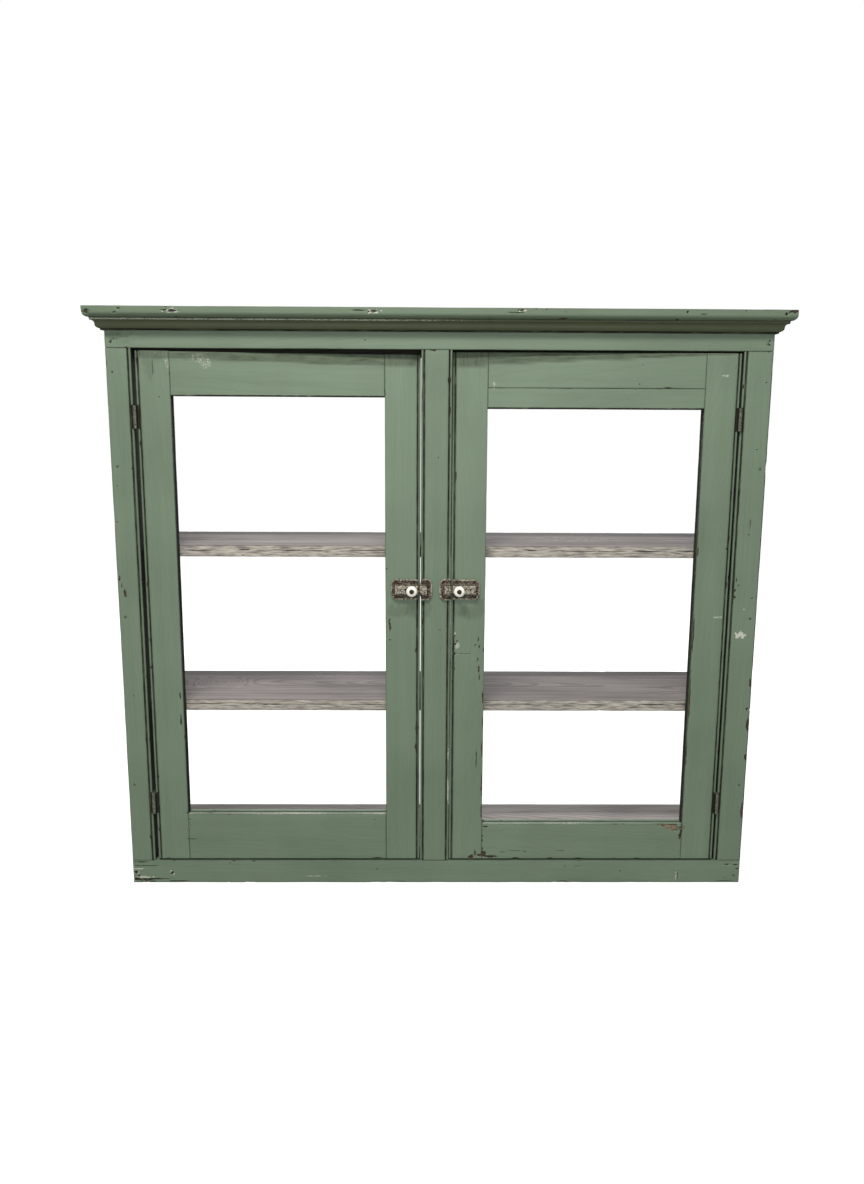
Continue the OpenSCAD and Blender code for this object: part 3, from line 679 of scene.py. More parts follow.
def paint(name, grain, cast=GREEN, deep=GREEN_DARK, light=GREEN_PALE):
    """Old brushed oil paint over pine, with its wear, dirt, painted shade and scrapes."""
    s = Shader(name)
    strokes = s.noise(along_grain(grain, 0.16, 0.0021), detail=3.0, roughness=0.6)
    broad = s.noise(along_grain(grain, 0.35, 0.016), detail=2.0)
    cloud = s.noise(0.13, detail=3.0)
    fine = s.noise(0.0016, detail=2.0)
    lines = growth_lines(s)

    tone = s.add(0.5, s.times(strokes, 0.55), s.times(broad, 0.9), s.times(cloud, 1.2), s.times(fine, 0.25))
    shade = s.mix(s.math("MULTIPLY", tone, 1.0, clamp=True), deep, light)
    base = s.mix(0.55, shade, cast)
    base = s.mix(s.times(lines, 0.10), base, deep)

    speckle = s.noise(along_grain(grain, 0.0022, 0.0015), detail=3.0, roughness=0.7)
    smear = s.math("ADD", s.attribute("pale"), s.times(speckle, 1.8))
    base = s.mix(s.times(s.step(smear, 0.55, 0.95), 0.8), base, CHALK)

    patchy = s.math("ADD", 0.75, s.times(s.noise(along_grain(grain, 0.02, 0.004), detail=4.0), 0.8))
    # The grime attribute darkens the paint through olive towards black: dirt, and painted shade in gaps,
    # notches, corners and under the frieze
    dirt = s.math("MULTIPLY", s.attribute("grime"), patchy, clamp=True)
    base = s.mix(s.times(dirt, 0.95), base, s.mix(s.step(dirt, 0.62, 0.95), DUST_AND_SHADE, DIRT_AND_SHADE))
    base = s.mix(s.times(s.specks(0.019, 0.14, 0.0008), 0.75), base, DIRT_AND_SHADE)

    torn = s.math("ADD", s.attribute("wear"), s.times(s.noise(0.0035, detail=4.0, roughness=0.65), 0.75))
    rim = s.step(torn, 0.52, 0.62)
    bare = s.step(torn, 0.62, 0.70)
    fibre = s.noise(along_grain(grain, 0.02, 0.0011), detail=3.0, roughness=0.65)
    wood = s.mix(s.step(fibre, -0.12, 0.2), WOOD_DARK, WOOD_BROWN)
    wood = s.mix(s.step(s.math("ADD", s.attribute("pale"), s.times(fibre, 0.8)), 0.2, 0.7), wood, WOOD_TAN)
    base = s.mix(s.times(rim, 0.75), base, DIRT_AND_SHADE)
    base = s.mix(s.times(bare, 0.9), base, wood)

    height = s.add(
        s.times(strokes, 0.5),
        s.times(s.noise(0.004, detail=3.0), 0.35),
        s.times(lines, -0.3),
        s.times(bare, -1.1),
        s.times(fine, 0.12),
    )
    s.bump(height, 0.0004, 0.55)
    roughness = s.add(
        0.5,
        s.times(cloud, 0.16),
        s.times(dirt, 0.45),
        s.times(bare, 0.3),
        s.times(strokes, 0.1),
    )
    return s.finish(base, roughness, Specular_IOR_Level=0.35)


def weathered_wood(name, grain, dark, light):
    """Grey, once thinly painted shelf boards."""
    s = Shader(name)
    fibres = s.noise(along_grain(grain, 0.09, 0.0011), detail=4.0, roughness=0.65)
    bands = s.noise(along_grain(grain, 0.3, 0.013), detail=3.0, distortion=0.4)
    cloud = s.noise(along_grain(grain, 0.22, 0.07), detail=3.0)
    lines = growth_lines(s, 0.3, 0.9)
    tone = s.add(0.5, s.times(fibres, 0.75), s.times(bands, 1.1), s.times(cloud, 0.9), s.times(lines, -0.28))
    base = s.mix(s.math("MULTIPLY", tone, 1.0, clamp=True), dark, light)
    streaks = s.noise(along_grain(grain, 0.02, 0.0022), detail=4.0)
    old_paint = s.math("ADD", s.attribute("pale"), s.times(streaks, 0.8))
    base = s.mix(s.times(s.step(old_paint, 0.45, 0.8), 0.75), base, colour("#cbc5b4"))
    checks = s.step(s.noise(along_grain(grain, 0.035, 0.0009), detail=2.0, centred=False), 0.68, 0.76)
    # The grime attribute darkens the wood towards black: dirt, and painted shade on the tie rail's front and
    # lower edges
    dirt = s.math("MULTIPLY", s.attribute("grime"), 1.0, clamp=True)
    worn = s.step(s.math("ADD", s.attribute("wear"), s.times(s.noise(0.004, detail=3.0), 0.9)), 0.6, 0.85)
    base = s.mix(s.times(checks, 0.45), base, colour("#2c2723"))
    base = s.mix(s.times(worn, 0.35), base, colour("#4a4038"))
    base = s.mix(s.times(dirt, 0.8), base, DIRT_AND_SHADE)
    height = s.add(s.times(fibres, 0.7), s.times(lines, -0.5), s.times(checks, -1.0), s.times(bands, 0.4))
    s.bump(height, 0.0005, 0.7)
    return s.finish(base, s.add(0.78, s.times(fibres, 0.15)), Specular_IOR_Level=0.25)


def cast_iron(name):
    """Rusted cast iron, rubbed paler on the raised case than on the plate."""
    s = Shader(name)
    lumps = s.noise(0.0032, detail=5.0, roughness=0.7, centred=False)
    dust = s.noise(0.0024, detail=4.0, roughness=0.75)
    pits = s.noise(0.0021, detail=3.0, roughness=0.65, centred=False)
    # The grime attribute holds painted shade and dirt in the casting's hollows and on the case's sides, pushing
    # them towards black
    hollow = s.attribute("grime")
    base = s.mix(s.step(lumps, 0.4, 0.56), colour("#2a231d"), colour("#6f6454"))
    rubbed = s.add(dust, s.times(s.attribute("pale"), 0.16), s.times(hollow, -0.05))
    base = s.mix(s.times(s.step(rubbed, 0.0, 0.1), 0.85), base, colour("#b3ad9b"))
    black = s.step(s.math("ADD", pits, s.times(hollow, 0.10)), 0.54, 0.62)
    base = s.mix(s.times(black, 0.92), base, colour("#0d0a08"))
    s.bump(s.add(lumps, s.times(dust, 0.7), s.times(black, -0.8)), 0.0006, 0.8)
    return s.finish(base, s.add(0.62, s.times(dust, 0.3)), Metallic=0.15, Specular_IOR_Level=0.4)


def painted_iron(name):
    """Hinges painted with the doors, with painted shade on the faces that turn left or right, such as the
    knuckles' sides.
    """
    s = Shader(name)
    blotch = s.noise(0.006, detail=4.0, roughness=0.65)
    fleck = s.noise(0.0014, detail=3.0, roughness=0.7, centred=False)
    base = s.mix(s.step(blotch, -0.15, 0.25), colour("#4f5646"), colour("#7a7664"))
    base = s.mix(s.times(s.step(fleck, 0.47, 0.6), 0.85), base, colour("#1f1b16"))
    # Painted shade: faces turned left or right go black
    base = s.mix(s.step(s.sideways(), 0.55, 0.8), base, DIRT_AND_SHADE)
    s.bump(s.add(blotch, s.times(fleck, -0.5)), 0.0003, 0.6)
    return s.finish(base, s.add(0.55, s.times(blotch, 0.2)), Specular_IOR_Level=0.4)


def old_steel(name, base_dark, base_light):
    """Dull screws, pins, studs and nails."""
    s = Shader(name)
    stain_noise = s.noise(0.0024, detail=4.0, roughness=0.7, centred=False)
    base = s.mix(s.step(stain_noise, 0.35, 0.65), base_dark, base_light)
    s.bump(stain_noise, 0.0002, 0.5)
    return s.finish(base, s.add(0.4, s.times(stain_noise, 0.25)), Metallic=0.7)


def porcelain(name):
    """Ivory glaze with a few hair cracks and a little dirt."""
    s = Shader(name)
    cells = s.tree.nodes.new("ShaderNodeTexVoronoi")
    cells.feature = "DISTANCE_TO_EDGE"
    s.put(cells.inputs["Vector"], s.stretched((0.0036,) * 3))
    cells.inputs["Scale"].default_value = 1.0
    crazing = s.math("SUBTRACT", 1.0, s.step(cells.outputs["Distance"], 0.0, 0.035))
    cloud = s.noise(0.006, detail=3.0)
    base = s.mix(s.math("ADD", 0.5, cloud), colour("#e9e5da"), colour("#f8f5ec"))
    base = s.mix(s.times(crazing, 0.22), base, colour("#8b7f68"))
    s.bump(s.add(s.times(crazing, -0.3), s.times(cloud, 0.2)), 0.0001, 0.4)
    return s.finish(base, s.add(0.2, s.times(cloud, 0.1)), Coat_Weight=0.5, Coat_Roughness=0.08)


PAINT = {"X": paint("paint_along_x", 0), "Y": paint("paint_along_y", 1), "Z": paint("paint_along_z", 2)}
CORNICE_PAINT = {
    "X": paint("cornice_paint_x", 0, OLIVE, OLIVE_DARK, OLIVE_PALE),
    "Y": paint("cornice_paint_y", 1, OLIVE, OLIVE_DARK, OLIVE_PALE),
}
TOP_PAINT = paint("top_paint", 0, colour("#61705a"), GREEN_DARK, GREEN)
WOOD = weathered_wood("weathered_wood", 0, colour("#5b5554"), colour("#98918f"))
# A lighter copy of the shelf wood: painted light on the bottom board, which the lamps reach less than the
# shelves
BOTTOM_WOOD_PAINTED_LIGHT = weathered_wood("bottom_wood_painted_light", 0, colour("#7d7674"), colour("#d4ccc9"))
IRON = cast_iron("cast_iron_rust")
HINGE_PAINT = painted_iron("hinge_paint")
STEEL = old_steel("old_steel", colour("#2a2622"), colour("#5f5a52"))
RUST = old_steel("rusty_nail", colour("#241a14"), colour("#4c3d30"))
NAIL_PAINT = old_steel("painted_nail", colour("#3a3a30"), colour("#5d6a57"))
CHINA = porcelain("ivory_glaze")

# ---------------------------------------------------------------- case


def edge_dirt(front, *sides):
    """Painted shade on the edges that face a gap, from a little behind the front; sides are (axis, place) of
    each, and front is the face's Y.
    """

    def dirt(points):
        behind = smooth_step(1.0 * mm, 3.2 * mm, points[:, 1] - front)
        near = np.zeros(len(points))
        for axis, place in sides:
            near = np.maximum(near, np.abs(points[:, axis] - place) < 1.3 * mm)
        return 2.0 * near * behind

    return dirt


def black_arris(front, axis, place, width):
    """A dark line along a front edge at a place on an axis; front is the face's Y."""

    def dirt(points):
        along = np.abs(points[:, axis] - place) < width
        return along * (points[:, 1] < front + 2.5 * mm) * (1.5 + 0.6 * noise(points, 0.006, 8))

    return dirt


def most(*dirts):
    """The greatest of several darkening functions of the points, for dirt and painted shade alike."""
    return lambda points: np.max([dirt(points) for dirt in dirts], axis=0)


def board(
    node,
    grain,
    wide,
    seed,
    material,
    slot,
    body="carcass",
    radius=EDGE_R,
    marks=(),
    coarse=6 * mm,
    box=None,
    **looks,
):
    """A plain board in the place of a CAD node."""
    low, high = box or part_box(node)
    marks = nearby(list(marks) + NAIL_MARKS, low, high)
    surface = block(low, high, radius, marks, coarse)
    piece = aged(node + "_board", surface, grain, wide, seed, marks, **looks)
    return dress(piece, material, body, slot, node)


def front_edge_pale(front):
    """The last paint on a shelf's front edge."""
    return lambda points: 0.62 * (1 - smooth_step(0.2 * mm, 1.6 * mm, points[:, 1] - front))


def shelf_marks(top_z, seed):
    """Splits along the middle of a shelf's front edge and nicks in its arrises."""
    random = np.random.RandomState(seed)
    behind = 23
    marks = []
    for x in np.arange(-440, 440, 62):
        length = random.uniform(24, 74)
        crack_x = x + random.uniform(0, 30)
        crack_z = top_z - 7 + random.uniform(-1, 1)
        marks.append(crack(crack_x, crack_z, length, 1.3, behind=behind))
    for x in random.uniform(-430, 430, 9):
        marks.append(chip(x, top_z - random.choice([0.5, 16.5]), random.uniform(4, 12), 2.4, 1.2, behind))
    return marks


def shelves():
    board("bottom_board", 0, 1, 31, BOTTOM_WOOD_PAINTED_LIGHT, "bare_wood", coarse=7 * mm)
    tie_low, tie_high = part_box("tie_rail")
    # Painted shade: the tie rail's front and lower faces, seen through the gaps, are darkened
    tie_rail_shade = edge_dirt(tie_low.y - 5 * mm, (1, tie_low.y), (2, tie_low.z))
    board("tie_rail", 0, 2, 34, WOOD, "bare_wood", coarse=9 * mm, dirt=tie_rail_shade)
    knot = at_face(-350, 287.5, 120)
    small_knot = at_face(-180, 287.5, 150)
    for node, seed, knots in (
        ("lower_shelf", 32, [(knot, 22 * mm, 7.0), (small_knot, 16 * mm, 4.0)]),
        ("upper_shelf", 33, [(at_face(210, 524, 110), 20 * mm, 5.0)]),
    ):
        low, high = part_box(node)
        marks = shelf_marks(high.z / mm, seed)
        pale = front_edge_pale(low.y)
        board(node, 0, 1, seed, WOOD, "bare_wood", marks=marks, knots=knots, abuse=0.1, pale=pale)


def case_sides():
    """Painted sides, their inner faces darkened to black behind the frame as painted shade."""
    for node, inner, seed in (
        ("side_left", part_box("side_left")[1].x, 41),
        ("side_right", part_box("side_right")[0].x, 42),
    ):

        # Painted shade: the inner faces go black over their front 60 mm, fading out by 110 mm
        def dirt(points, inner=inner):
            inside = np.abs(points[:, 0] - inner) < 1.5 * mm
            return 2.0 * inside * (1 - smooth_step(60 * mm, 110 * mm, points[:, 1] - FACE_Y))

        board(node, 2, 1, seed, PAINT["Z"], "green_paint", coarse=8 * mm, abuse=0.05, dirt=dirt)


BASE_MARKS = [
    hole(-465.8, 16, 3.0),
    crack(-452, 28, 44),
    crack(-458, 34, 30, 1.4),
    crack(-450, 4, 50, 1.6),
    chip(-466, 6, 20, 6, 1.6),
    chip(-447, 1.5, 26, 4, 1.2),
    *knock(-410, 16.5, 6, 7),
    *knock(-465, 17, 7, 5),
    scuff(-455, 9, 44, 4, 1.1),
    scuff(-460, 23, 26, 3, 1.0),
    crack(-440, 6, 66, 2.6),
    crack(-400, 2.5, 44, 1.6),
    scuff(-190, 11, 46, 1.6, 0.9),
    hole(-320, 32.5, 1.6),
    hole(-93, 22.6, 1.5),
    hole(198, 27.6, 1.4),
    crack(217, 27.5, 20, 0.8),
    hole(284, 19.3, 1.8),
    chip(196, 1.5, 16, 3.5, 1.0),
    chip(-292, 0.5, 22, 3, 0.8),
    chip(-95, 0.5, 18, 2.6, 0.7),
    scuff(371.4, 11, 4, 22, 0.8),
    chip(373.5, 11, 1.6, 20, 0.5),
    chip(450, 30, 10, 2.4, 1.4),
    chip(463, 29.5, 9, 2.6, 1.6),
    chip(467, 22.8, 8, 2.2, 1.4),
    crack(448, 3.2, 44, 0.9),
    hole(447, 8, 1.2),
]

FRIEZE_MARKS = [
    hole(-462, 812.7, 3.0),
    hole(-457, 817, 1.6),
    hole(463, 819.3, 2.6),
    hole(463.5, 814, 2.0),
    hole(-106, 817.4, 1.4),
    stain(-455, 822, 40, 12, 0.5),
    stain(-440, 812, 24, 10, 0.25),
]

CORNICE_MARKS = [
    chip(-441.5, 856.3, 7, 3, 0.9, -23),
    chip(-447, 851, 5, 3, 0.9, -23),
    *knock(-369.5, 853.5, 14, 4.8, -22),
    crack(-380, 854.2, 12, 1.4, behind=-23),
    *knock(-93.4, 853.8, 15, 4.8, -22),
    crack(-114, 855.5, 22, 1.3, behind=-23),
    *knock(110.8, 856.5, 10, 2.6, -23),
    crack(104, 853.5, 26, 0.9, behind=-23),
    hole(131, 858.5, 1.8, -23),
    hole(145, 857.5, 1.6, -23),
    hole(339.3, 855.6, 3.4, -23),
    crack(362, 853, 9, 0.9, behind=-23),
    hole(420, 857.5, 1.6, -23),
    hole(476.1, 853.8, 4.2, -23),
    chip(487, 857, 14, 6, 1.6, -22),
    chip(-487, 852, 16, 8, 1.8, -21),
]

for side in (-1, 1):
    FRIEZE_MARKS.append(chip(side * 468.5, 803, 7, 5, 0.8))


def rails():
    board("base_rail", 0, 2, 51, PAINT["X"], "green_paint", marks=BASE_MARKS, abuse=0.07, coarse=7 * mm)
    # Painted shade along the frieze's underside, behind its front edge
    under = edge_dirt(FACE_Y, (2, FRIEZE_LOW.z))
    board("frieze_rail", 0, 2, 52, PAINT["X"], "green_paint", marks=FRIEZE_MARKS, coarse=7 * mm, dirt=under)


def upright_section(low, high, near_bead, far_bead, groove=None):
    """An upright's section in X and Y: beads in front, and a groove in its near or its far edge."""
    left, right, front, back = low.x, high.x, low.y, high.y
    bead_r = BEAD_W / 2 * 0.98
    near = [(left, front, EDGE_R)]
    if near_bead:
        near = [
            (left, front, bead_r),
            (left + BEAD_W, front, bead_r),
            (left + BEAD_W, front + QUIRK_D, 0.0),
            (left + BEAD_W + QUIRK_W, front + QUIRK_D, 0.0),
            (left + BEAD_W + QUIRK_W, front, 0.4 * mm),
        ]
    far = [(right, front, EDGE_R)]
    if far_bead:
        far = [
            (right - BEAD_W - QUIRK_W, front, 0.4 * mm),
            (right - BEAD_W - QUIRK_W, front + QUIRK_D, 0.0),
            (right - BEAD_W, front + QUIRK_D, 0.0),
            (right - BEAD_W, front, bead_r),
            (right, front, bead_r),
        ]
    groove_front = (front + back - GROOVE_W) / 2
    groove_back = groove_front + GROOVE_W
    far_groove, near_groove = [], []
    if groove == "far":
        floor = right - GROOVE_D
        far_groove = [
            (right, groove_front, 0.4 * mm),
            (floor, groove_front, 0.0),
            (floor, groove_back, 0.0),
            (right, groove_back, 0.4 * mm),
        ]
    if groove == "near":
        floor = left + GROOVE_D
        near_groove = [
            (left, groove_back, 0.4 * mm),
            (floor, groove_back, 0.0),
            (floor, groove_front, 0.0),
            (left, groove_front, 0.4 * mm),
        ]
    return near + far + far_groove + [(right, back, EDGE_R), (left, back, EDGE_R)] + near_groove


HINGE_HALF = 16.4 * mm
NOTCH_DEPTH = 1.7 * mm
KNUCKLE_R = 3.2 * mm


def hinge_places(side):
    """The pin's X and the middle height of each of a side's two hinges."""
    found = []
    for place in ("upper", "lower"):
        low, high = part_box(f"{side}_{place}_hinge_pin")
        found.append(((low.x + high.x) / 2, (low.z + high.z) / 2))
    return found


def hinge_notch(points, side, towards, width):
    """Lowers the wood beside each hinge's knuckles; towards is -1 for the wood on the pin's left."""
    for pin_x, middle_z in hinge_places(side):
        beside = np.abs(points[:, 0] - pin_x) < KNUCKLE_R + width
        level = np.abs(points[:, 2] - middle_z) < HINGE_HALF
        near_side = (points[:, 0] - pin_x) * towards > -0.5 * mm
        inside = beside & level & near_side
        points[inside, 1] = np.maximum(points[inside, 1], FACE_Y + NOTCH_DEPTH)
    return points


def notch_stops(side):
    return [middle + end * HINGE_HALF for _, middle in hinge_places(side) for end in (-1, 1)]


def notch_dirt(side):
    """Painted shade: the black floor and walls of each notch."""
    places = hinge_places(side)

    def dirt(points):
        inside = np.zeros(len(points), bool)
        for pin_x, middle in places:
            beside = np.abs(points[:, 0] - pin_x) < KNUCKLE_R + 3.2 * mm
            level = np.abs(points[:, 2] - middle) < HINGE_HALF + 0.6 * mm
            inside |= beside & level
        return 1.4 * inside

    return dirt


LEFT_STILE_MARKS = [
    hole(-461.5, 771.8, 2.2),
    hole(-463.1, 612.2, 1.6),
    hole(-465.8, 560.4, 1.4),
    chip(-466.5, 478, 3, 10, 0.7),
    chip(-460, 455, 5, 16, 0.7),
    chip(-464, 466, 2, 12, 0.5),
    hole(-455, 300, 1.2),
]
POST_MARKS = [
    scuff(15.2, 150, 3.6, 52, 1.1),
    scuff(15.2, 210, 3.6, 30, 0.8),
    chip(-23.8, 441, 3, 10, 0.6),
    chip(-24.2, 414, 3, 14, 0.7),
    chip(-26.4, 738, 3.6, 54, 0.5),
    stain(-18, 436, 16, 26, 0.4),
    stain(14, 436, 14, 30, 0.4),
    hole(1.5, 402, 1.2),
    crack(3, 372, 12, 0.8, upright=True),
    hole(-2, 655, 1.2),
]
RIGHT_STILE_MARKS = [
    scuff(447.5, 395.5, 20, 10, 1.3),
    scuff(452, 434, 6, 3, 0.8),
    chip(437.5, 478, 2, 12, 0.7),
    chip(436, 462, 3, 7, 0.9),
    chip(441, 470, 2.4, 3, 0.7),
    chip(436.5, 452, 3, 6, 0.9),
    crack(452, 560, 22, 1.0, upright=True),
    hole(451, 545, 1.6),
    hole(462, 451, 2.2),
    hole(462, 762, 1.8),
    hole(455, 668, 1.4),
    chip(467.5, 322, 4, 16, 1.2),
    chip(467.5, 256, 5, 22, 1.4),
    chip(467.5, 205, 4, 14, 1.0),
    chip(467.5, 118, 5, 30, 1.4),
    *knock(465, 281, 3, 4),
    chip(470, 640, 3, 18, 0.8),
]


def frame_upright(node, seed, near_bead, far_bead, marks, side=None, towards=1, width=0.0):
    low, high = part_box(node)
    low.z, high.z = RAIL_HIGH.z, FRIEZE_LOW.z
    corners = upright_section(low, high, near_bead, far_bead)
    local = nearby(list(marks) + NAIL_MARKS, low, high)
    stops = notch_stops(side) if side else ()
    surface = swept(corners, "Z", low.z, high.z, local, stops)

    def notched(points):
        return hinge_notch(points, side, towards, width) if side else points

    # Painted shade on the faces beside the gaps and in the hinge notches, and a dark line along the right
    # stile's outer front edge
    gaps = [(0, place) for place, beaded in ((low.x, near_bead), (high.x, far_bead)) if beaded]
    dirt = edge_dirt(low.y, *gaps)
    if side:
        dirt = most(dirt, notch_dirt(side))
    if side == "right":
        dirt = most(dirt, black_arris(low.y, 0, high.x, 1.3 * mm))
    piece = aged(node + "_board", surface, 2, 0, seed, local, reshape=notched, dirt=dirt)
    return dress(piece, PAINT["Z"], "carcass", "green_paint", node)


def uprights():
    frame_upright("stile_left", 61, False, True, LEFT_STILE_MARKS, "left", -1, 2.2 * mm)
    frame_upright("centre_post", 62, True, True, POST_MARKS)
    frame_upright("stile_right", 63, True, False, RIGHT_STILE_MARKS, "right", 1, 0.4 * mm)


# ---------------------------------------------------------------- cornice


def top_board():
    """Square above and rounded below at the front and at both ends."""
    low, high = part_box("top_board")
    centre_x = (low.x + high.x) / 2
    half = (high.x - low.x) / 2
    depth = high.y - low.y

    def rounded_under(points):
        rise = np.clip(TOP_ROUND - (points[:, 2] - low.z), 0, TOP_ROUND)
        inset = TOP_ROUND - np.sqrt(TOP_ROUND**2 - rise**2)
        points[:, 0] = centre_x + (points[:, 0] - centre_x) * (half - inset) / half
        points[:, 1] = high.y - (high.y - points[:, 1]) * (depth - inset) / depth
        return points

    marks = nearby(CORNICE_MARKS + NAIL_MARKS, low, high)
    surface = block(low, high, 1.1 * mm, marks, 9 * mm)
    lines = smooth_lines(surface, low, high)

    # Painted shade: the lowest 8.5 mm of the top board, its rounded underside, darkened
    def underside_dirt(points):
        return 0.3 * (1 - smooth_step(3 * mm, 8.5 * mm, points[:, 2] - low.z))

    looks = {"abuse": 0.12, "reshape": rounded_under, "dirt": underside_dirt}
    piece = aged("top_board_worn", lines, 0, 1, 71, marks, **looks)
    return dress(piece, TOP_PAINT, "carcass", "green_paint", "top_board")


def smooth_lines(surface, low, high):
    """Turns the normals of the lower rounded edge to follow its curve."""
    normals = surface.normals.copy()
    rise = np.clip((TOP_ROUND - (surface.points[:, 2] - low.z)) / TOP_ROUND, 0, 1)
    front = surface.points[:, 1] < low.y + 1.5 * mm
    normals[front, 2] -= rise[front]
    normals /= np.linalg.norm(normals, axis=1, keepdims=True)
    return surface._replace(normals=normals)


def moulding_corners(out_axis_first, origin, foot_z, direction):
    """The ogee's section; direction is which way it stands out from the wall at origin."""
    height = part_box("cornice_front")[1].z - foot_z
    shape = [
        (0.0, 0.0, 0.0),
        (MOULDING_FOOT, 0.0, 0.5 * mm),
        (MOULDING_FOOT, LOWER_FILLET, 0.0),
        (MOULDING_FOOT + OGEE_R, LOWER_FILLET, OGEE_R * 0.98),
        (MOULDING_FOOT + OGEE_R, LOWER_FILLET + 2 * OGEE_R, OGEE_R * 0.98),
        (MOULDING_FOOT + 2 * OGEE_R, LOWER_FILLET + 2 * OGEE_R, 0.5 * mm),
        (MOULDING_FOOT + 2 * OGEE_R, height, 0.0),
        (0.0, height, 0.0),
    ]
    corners = []
    for out, up, radius in shape:
        wall = origin + direction * out
        corners.append((wall, foot_z + up, radius) if out_axis_first else (foot_z + up, wall, radius))
    turn = sum(a[0] * b[1] - b[0] * a[1] for a, b in zip(corners, corners[1:] + corners[:1]))
    return corners if turn > 0 else corners[::-1]


def cornice():
    low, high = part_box("cornice_front")
    foot_z = low.z
    corners = moulding_corners(True, FACE_Y, foot_z, -1)

    def mitred(points):
        out = FACE_Y - points[:, 1]
        points[:, 0] *= (HALF_W + out) / HALF_W
        return points

    # Pale paint along the moulding's upper fillet, fading out towards the right
    def pale_fillet(points):
        level = (points[:, 2] > high.z - 3.0 * mm) & (points[:, 2] < high.z - 0.7 * mm)
        outer = points[:, 1] < FACE_Y - 14 * mm
        return (level & outer) * (0.8 - 0.6 * smooth_step(-0.1, 0.2, points[:, 0]))

    surface = swept(corners, "X", -HALF_W, HALF_W, coarse=5 * mm, end_r=0.05 * mm)
    piece = aged("cornice_front_worn", surface, 0, 2, 81, reshape=mitred, abuse=-0.1, pale=pale_fillet)
    dress(piece, CORNICE_PAINT["X"], "carcass", "green_paint", "cornice_front")

    for name, direction, seed in (("left", -1, 82), ("right", 1, 83)):
        node = "cornice_return_" + name
        node_low, node_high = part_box(node)
        corners = moulding_corners(False, direction * HALF_W, foot_z, direction)
        back = node_high.y

        def mitred_front(points, direction=direction, back=back):
            out = points[:, 0] * direction - HALF_W
            length = back - FACE_Y
            points[:, 1] = back - (back - points[:, 1]) * (length + out) / length
            return points

        surface = swept(corners, "Y", FACE_Y, back, coarse=5 * mm, end_r=0.05 * mm)
        piece = aged(node + "_worn", surface, 1, 2, seed, reshape=mitred_front, abuse=-0.05)
        dress(piece, CORNICE_PAINT["Y"], "carcass", "green_paint", node)


# ---------------------------------------------------------------- doors

LEFT_DOOR_MARKS = [
    stain(-330, 797, 130, 14, 0.55),
    stain(-410, 780, 30, 40, 0.35),
    scuff(-341, 792, 36, 20, 0.66),
    scuff(-330, 784, 24, 16, 0.6),
    scuff(-384, 782, 10, 46, 0.6),
    scuff(-390, 797, 50, 10, 0.55),
    hole(-397.4, 737.7, 1.8),
    crack(-405, 776, 26, 0.7, upright=True)._replace(grime=0.8),
    chip(-72, 408, 3.4, 22, 0.8),
    chip(-73.5, 415, 2, 10, 0.6),
    hole(-72.3, 386.4, 2.0),
    hole(-77, 493, 1.3),
    chip(-383, 114, 4, 3, 1.0),
    crack(-381, 104, 8, 0.9),
    crack(-379, 98, 10, 0.8),
    crack(-378, 71.8, 16, 0.9),
    hole(-381, 86, 1.4),
    chip(-386, 300, 3, 14, 0.8),
    chip(-386.4, 262, 3, 22, 0.9),
    chip(-381.5, 235, 3, 9, 0.8),
    stain(-62, 432, 40, 26, 0.35),
    hole(-97, 104, 1.4),
    crack(-92, 41, 16, 1.0),
]
RIGHT_DOOR_MARKS = [
    scuff(77, 777, 3, 7, 0.9),
    scuff(77, 757, 4, 12, 1.0),
    scuff(75, 766, 3, 8, 0.8),
    scuff(402, 772, 20, 4, 0.9),
    scuff(393, 777, 5, 5, 0.7),
    scuff(264.4, 786.7, 4, 3, 0.9),
    hole(282.6, 759.2, 1.6),
    hole(277, 752, 1.3),
    *knock(22, 394, 4.5, 8),
    hole(27, 385, 2.6),
    *knock(24.5, 380, 5, 4),
    hole(21.5, 372, 3.2),
    *knock(22.5, 365.6, 6, 4),
    scuff(28, 377, 8, 12, 0.75),
    crack(38, 365.4, 34, 0.8),
    scuff(38, 366.4, 36, 1.6, 0.8),
    hole(53.8, 379, 2.2),
    chip(58.6, 388, 2.4, 8, 0.8),
    chip(60, 376, 2, 9, 0.6),
    chip(58, 356, 2.6, 10, 0.9),
    chip(60, 343, 2.6, 20, 0.9),
    chip(61, 329, 2.4, 12, 0.8),
    chip(66.5, 300, 3, 26, 1.0),
    chip(67, 260, 3, 20, 1.0),
    chip(67, 216, 4, 34, 1.1),
    chip(67, 160, 4, 40, 1.1),
    chip(67.5, 118, 4, 26, 1.2),
    chip(58, 196, 1.6, 44, 0.5),
    stain(56, 434, 44, 30, 0.4),
    scuff(412, 422.6, 22, 3.4, 0.9),
    chip(352, 97, 56, 4, 1.3),
    chip(366, 91, 34, 11, 1.0)._replace(pale=0.55),
    chip(357, 94, 40, 6, 1.0)._replace(pale=0.5),
    crack(352, 97.8, 70, 1.4),
    chip(290, 97.5, 80, 1.6, 0.5),
    chip(376, 84, 5, 26, 1.1),
    chip(374, 76, 4, 12, 0.9),
    chip(52, 43, 9, 7, 1.0),
    chip(58, 48, 3, 12, 0.8),
    chip(64, 45, 8, 5, 0.8),
    chip(71, 47, 9, 12, 0.9),
    chip(82, 43, 24, 5, 0.8),
    chip(73, 92, 10, 5, 0.8),
    crack(120, 52.2, 20, 1.1),
    crack(134, 51.6, 10, 0.9),
    crack(190, 52.2, 14, 0.9),
    crack(100, 50.5, 12, 0.9),
    scuff(122, 84, 3, 3, 0.9),
    chip(378, 520, 3, 18, 0.7),
    chip(378, 400, 3, 60, 0.8),
    chip(377.5, 300, 3, 90, 0.8),
    chip(377, 210, 3, 50, 0.8),
]
DOOR_MARKS = {"left": LEFT_DOOR_MARKS, "right": RIGHT_DOOR_MARKS}


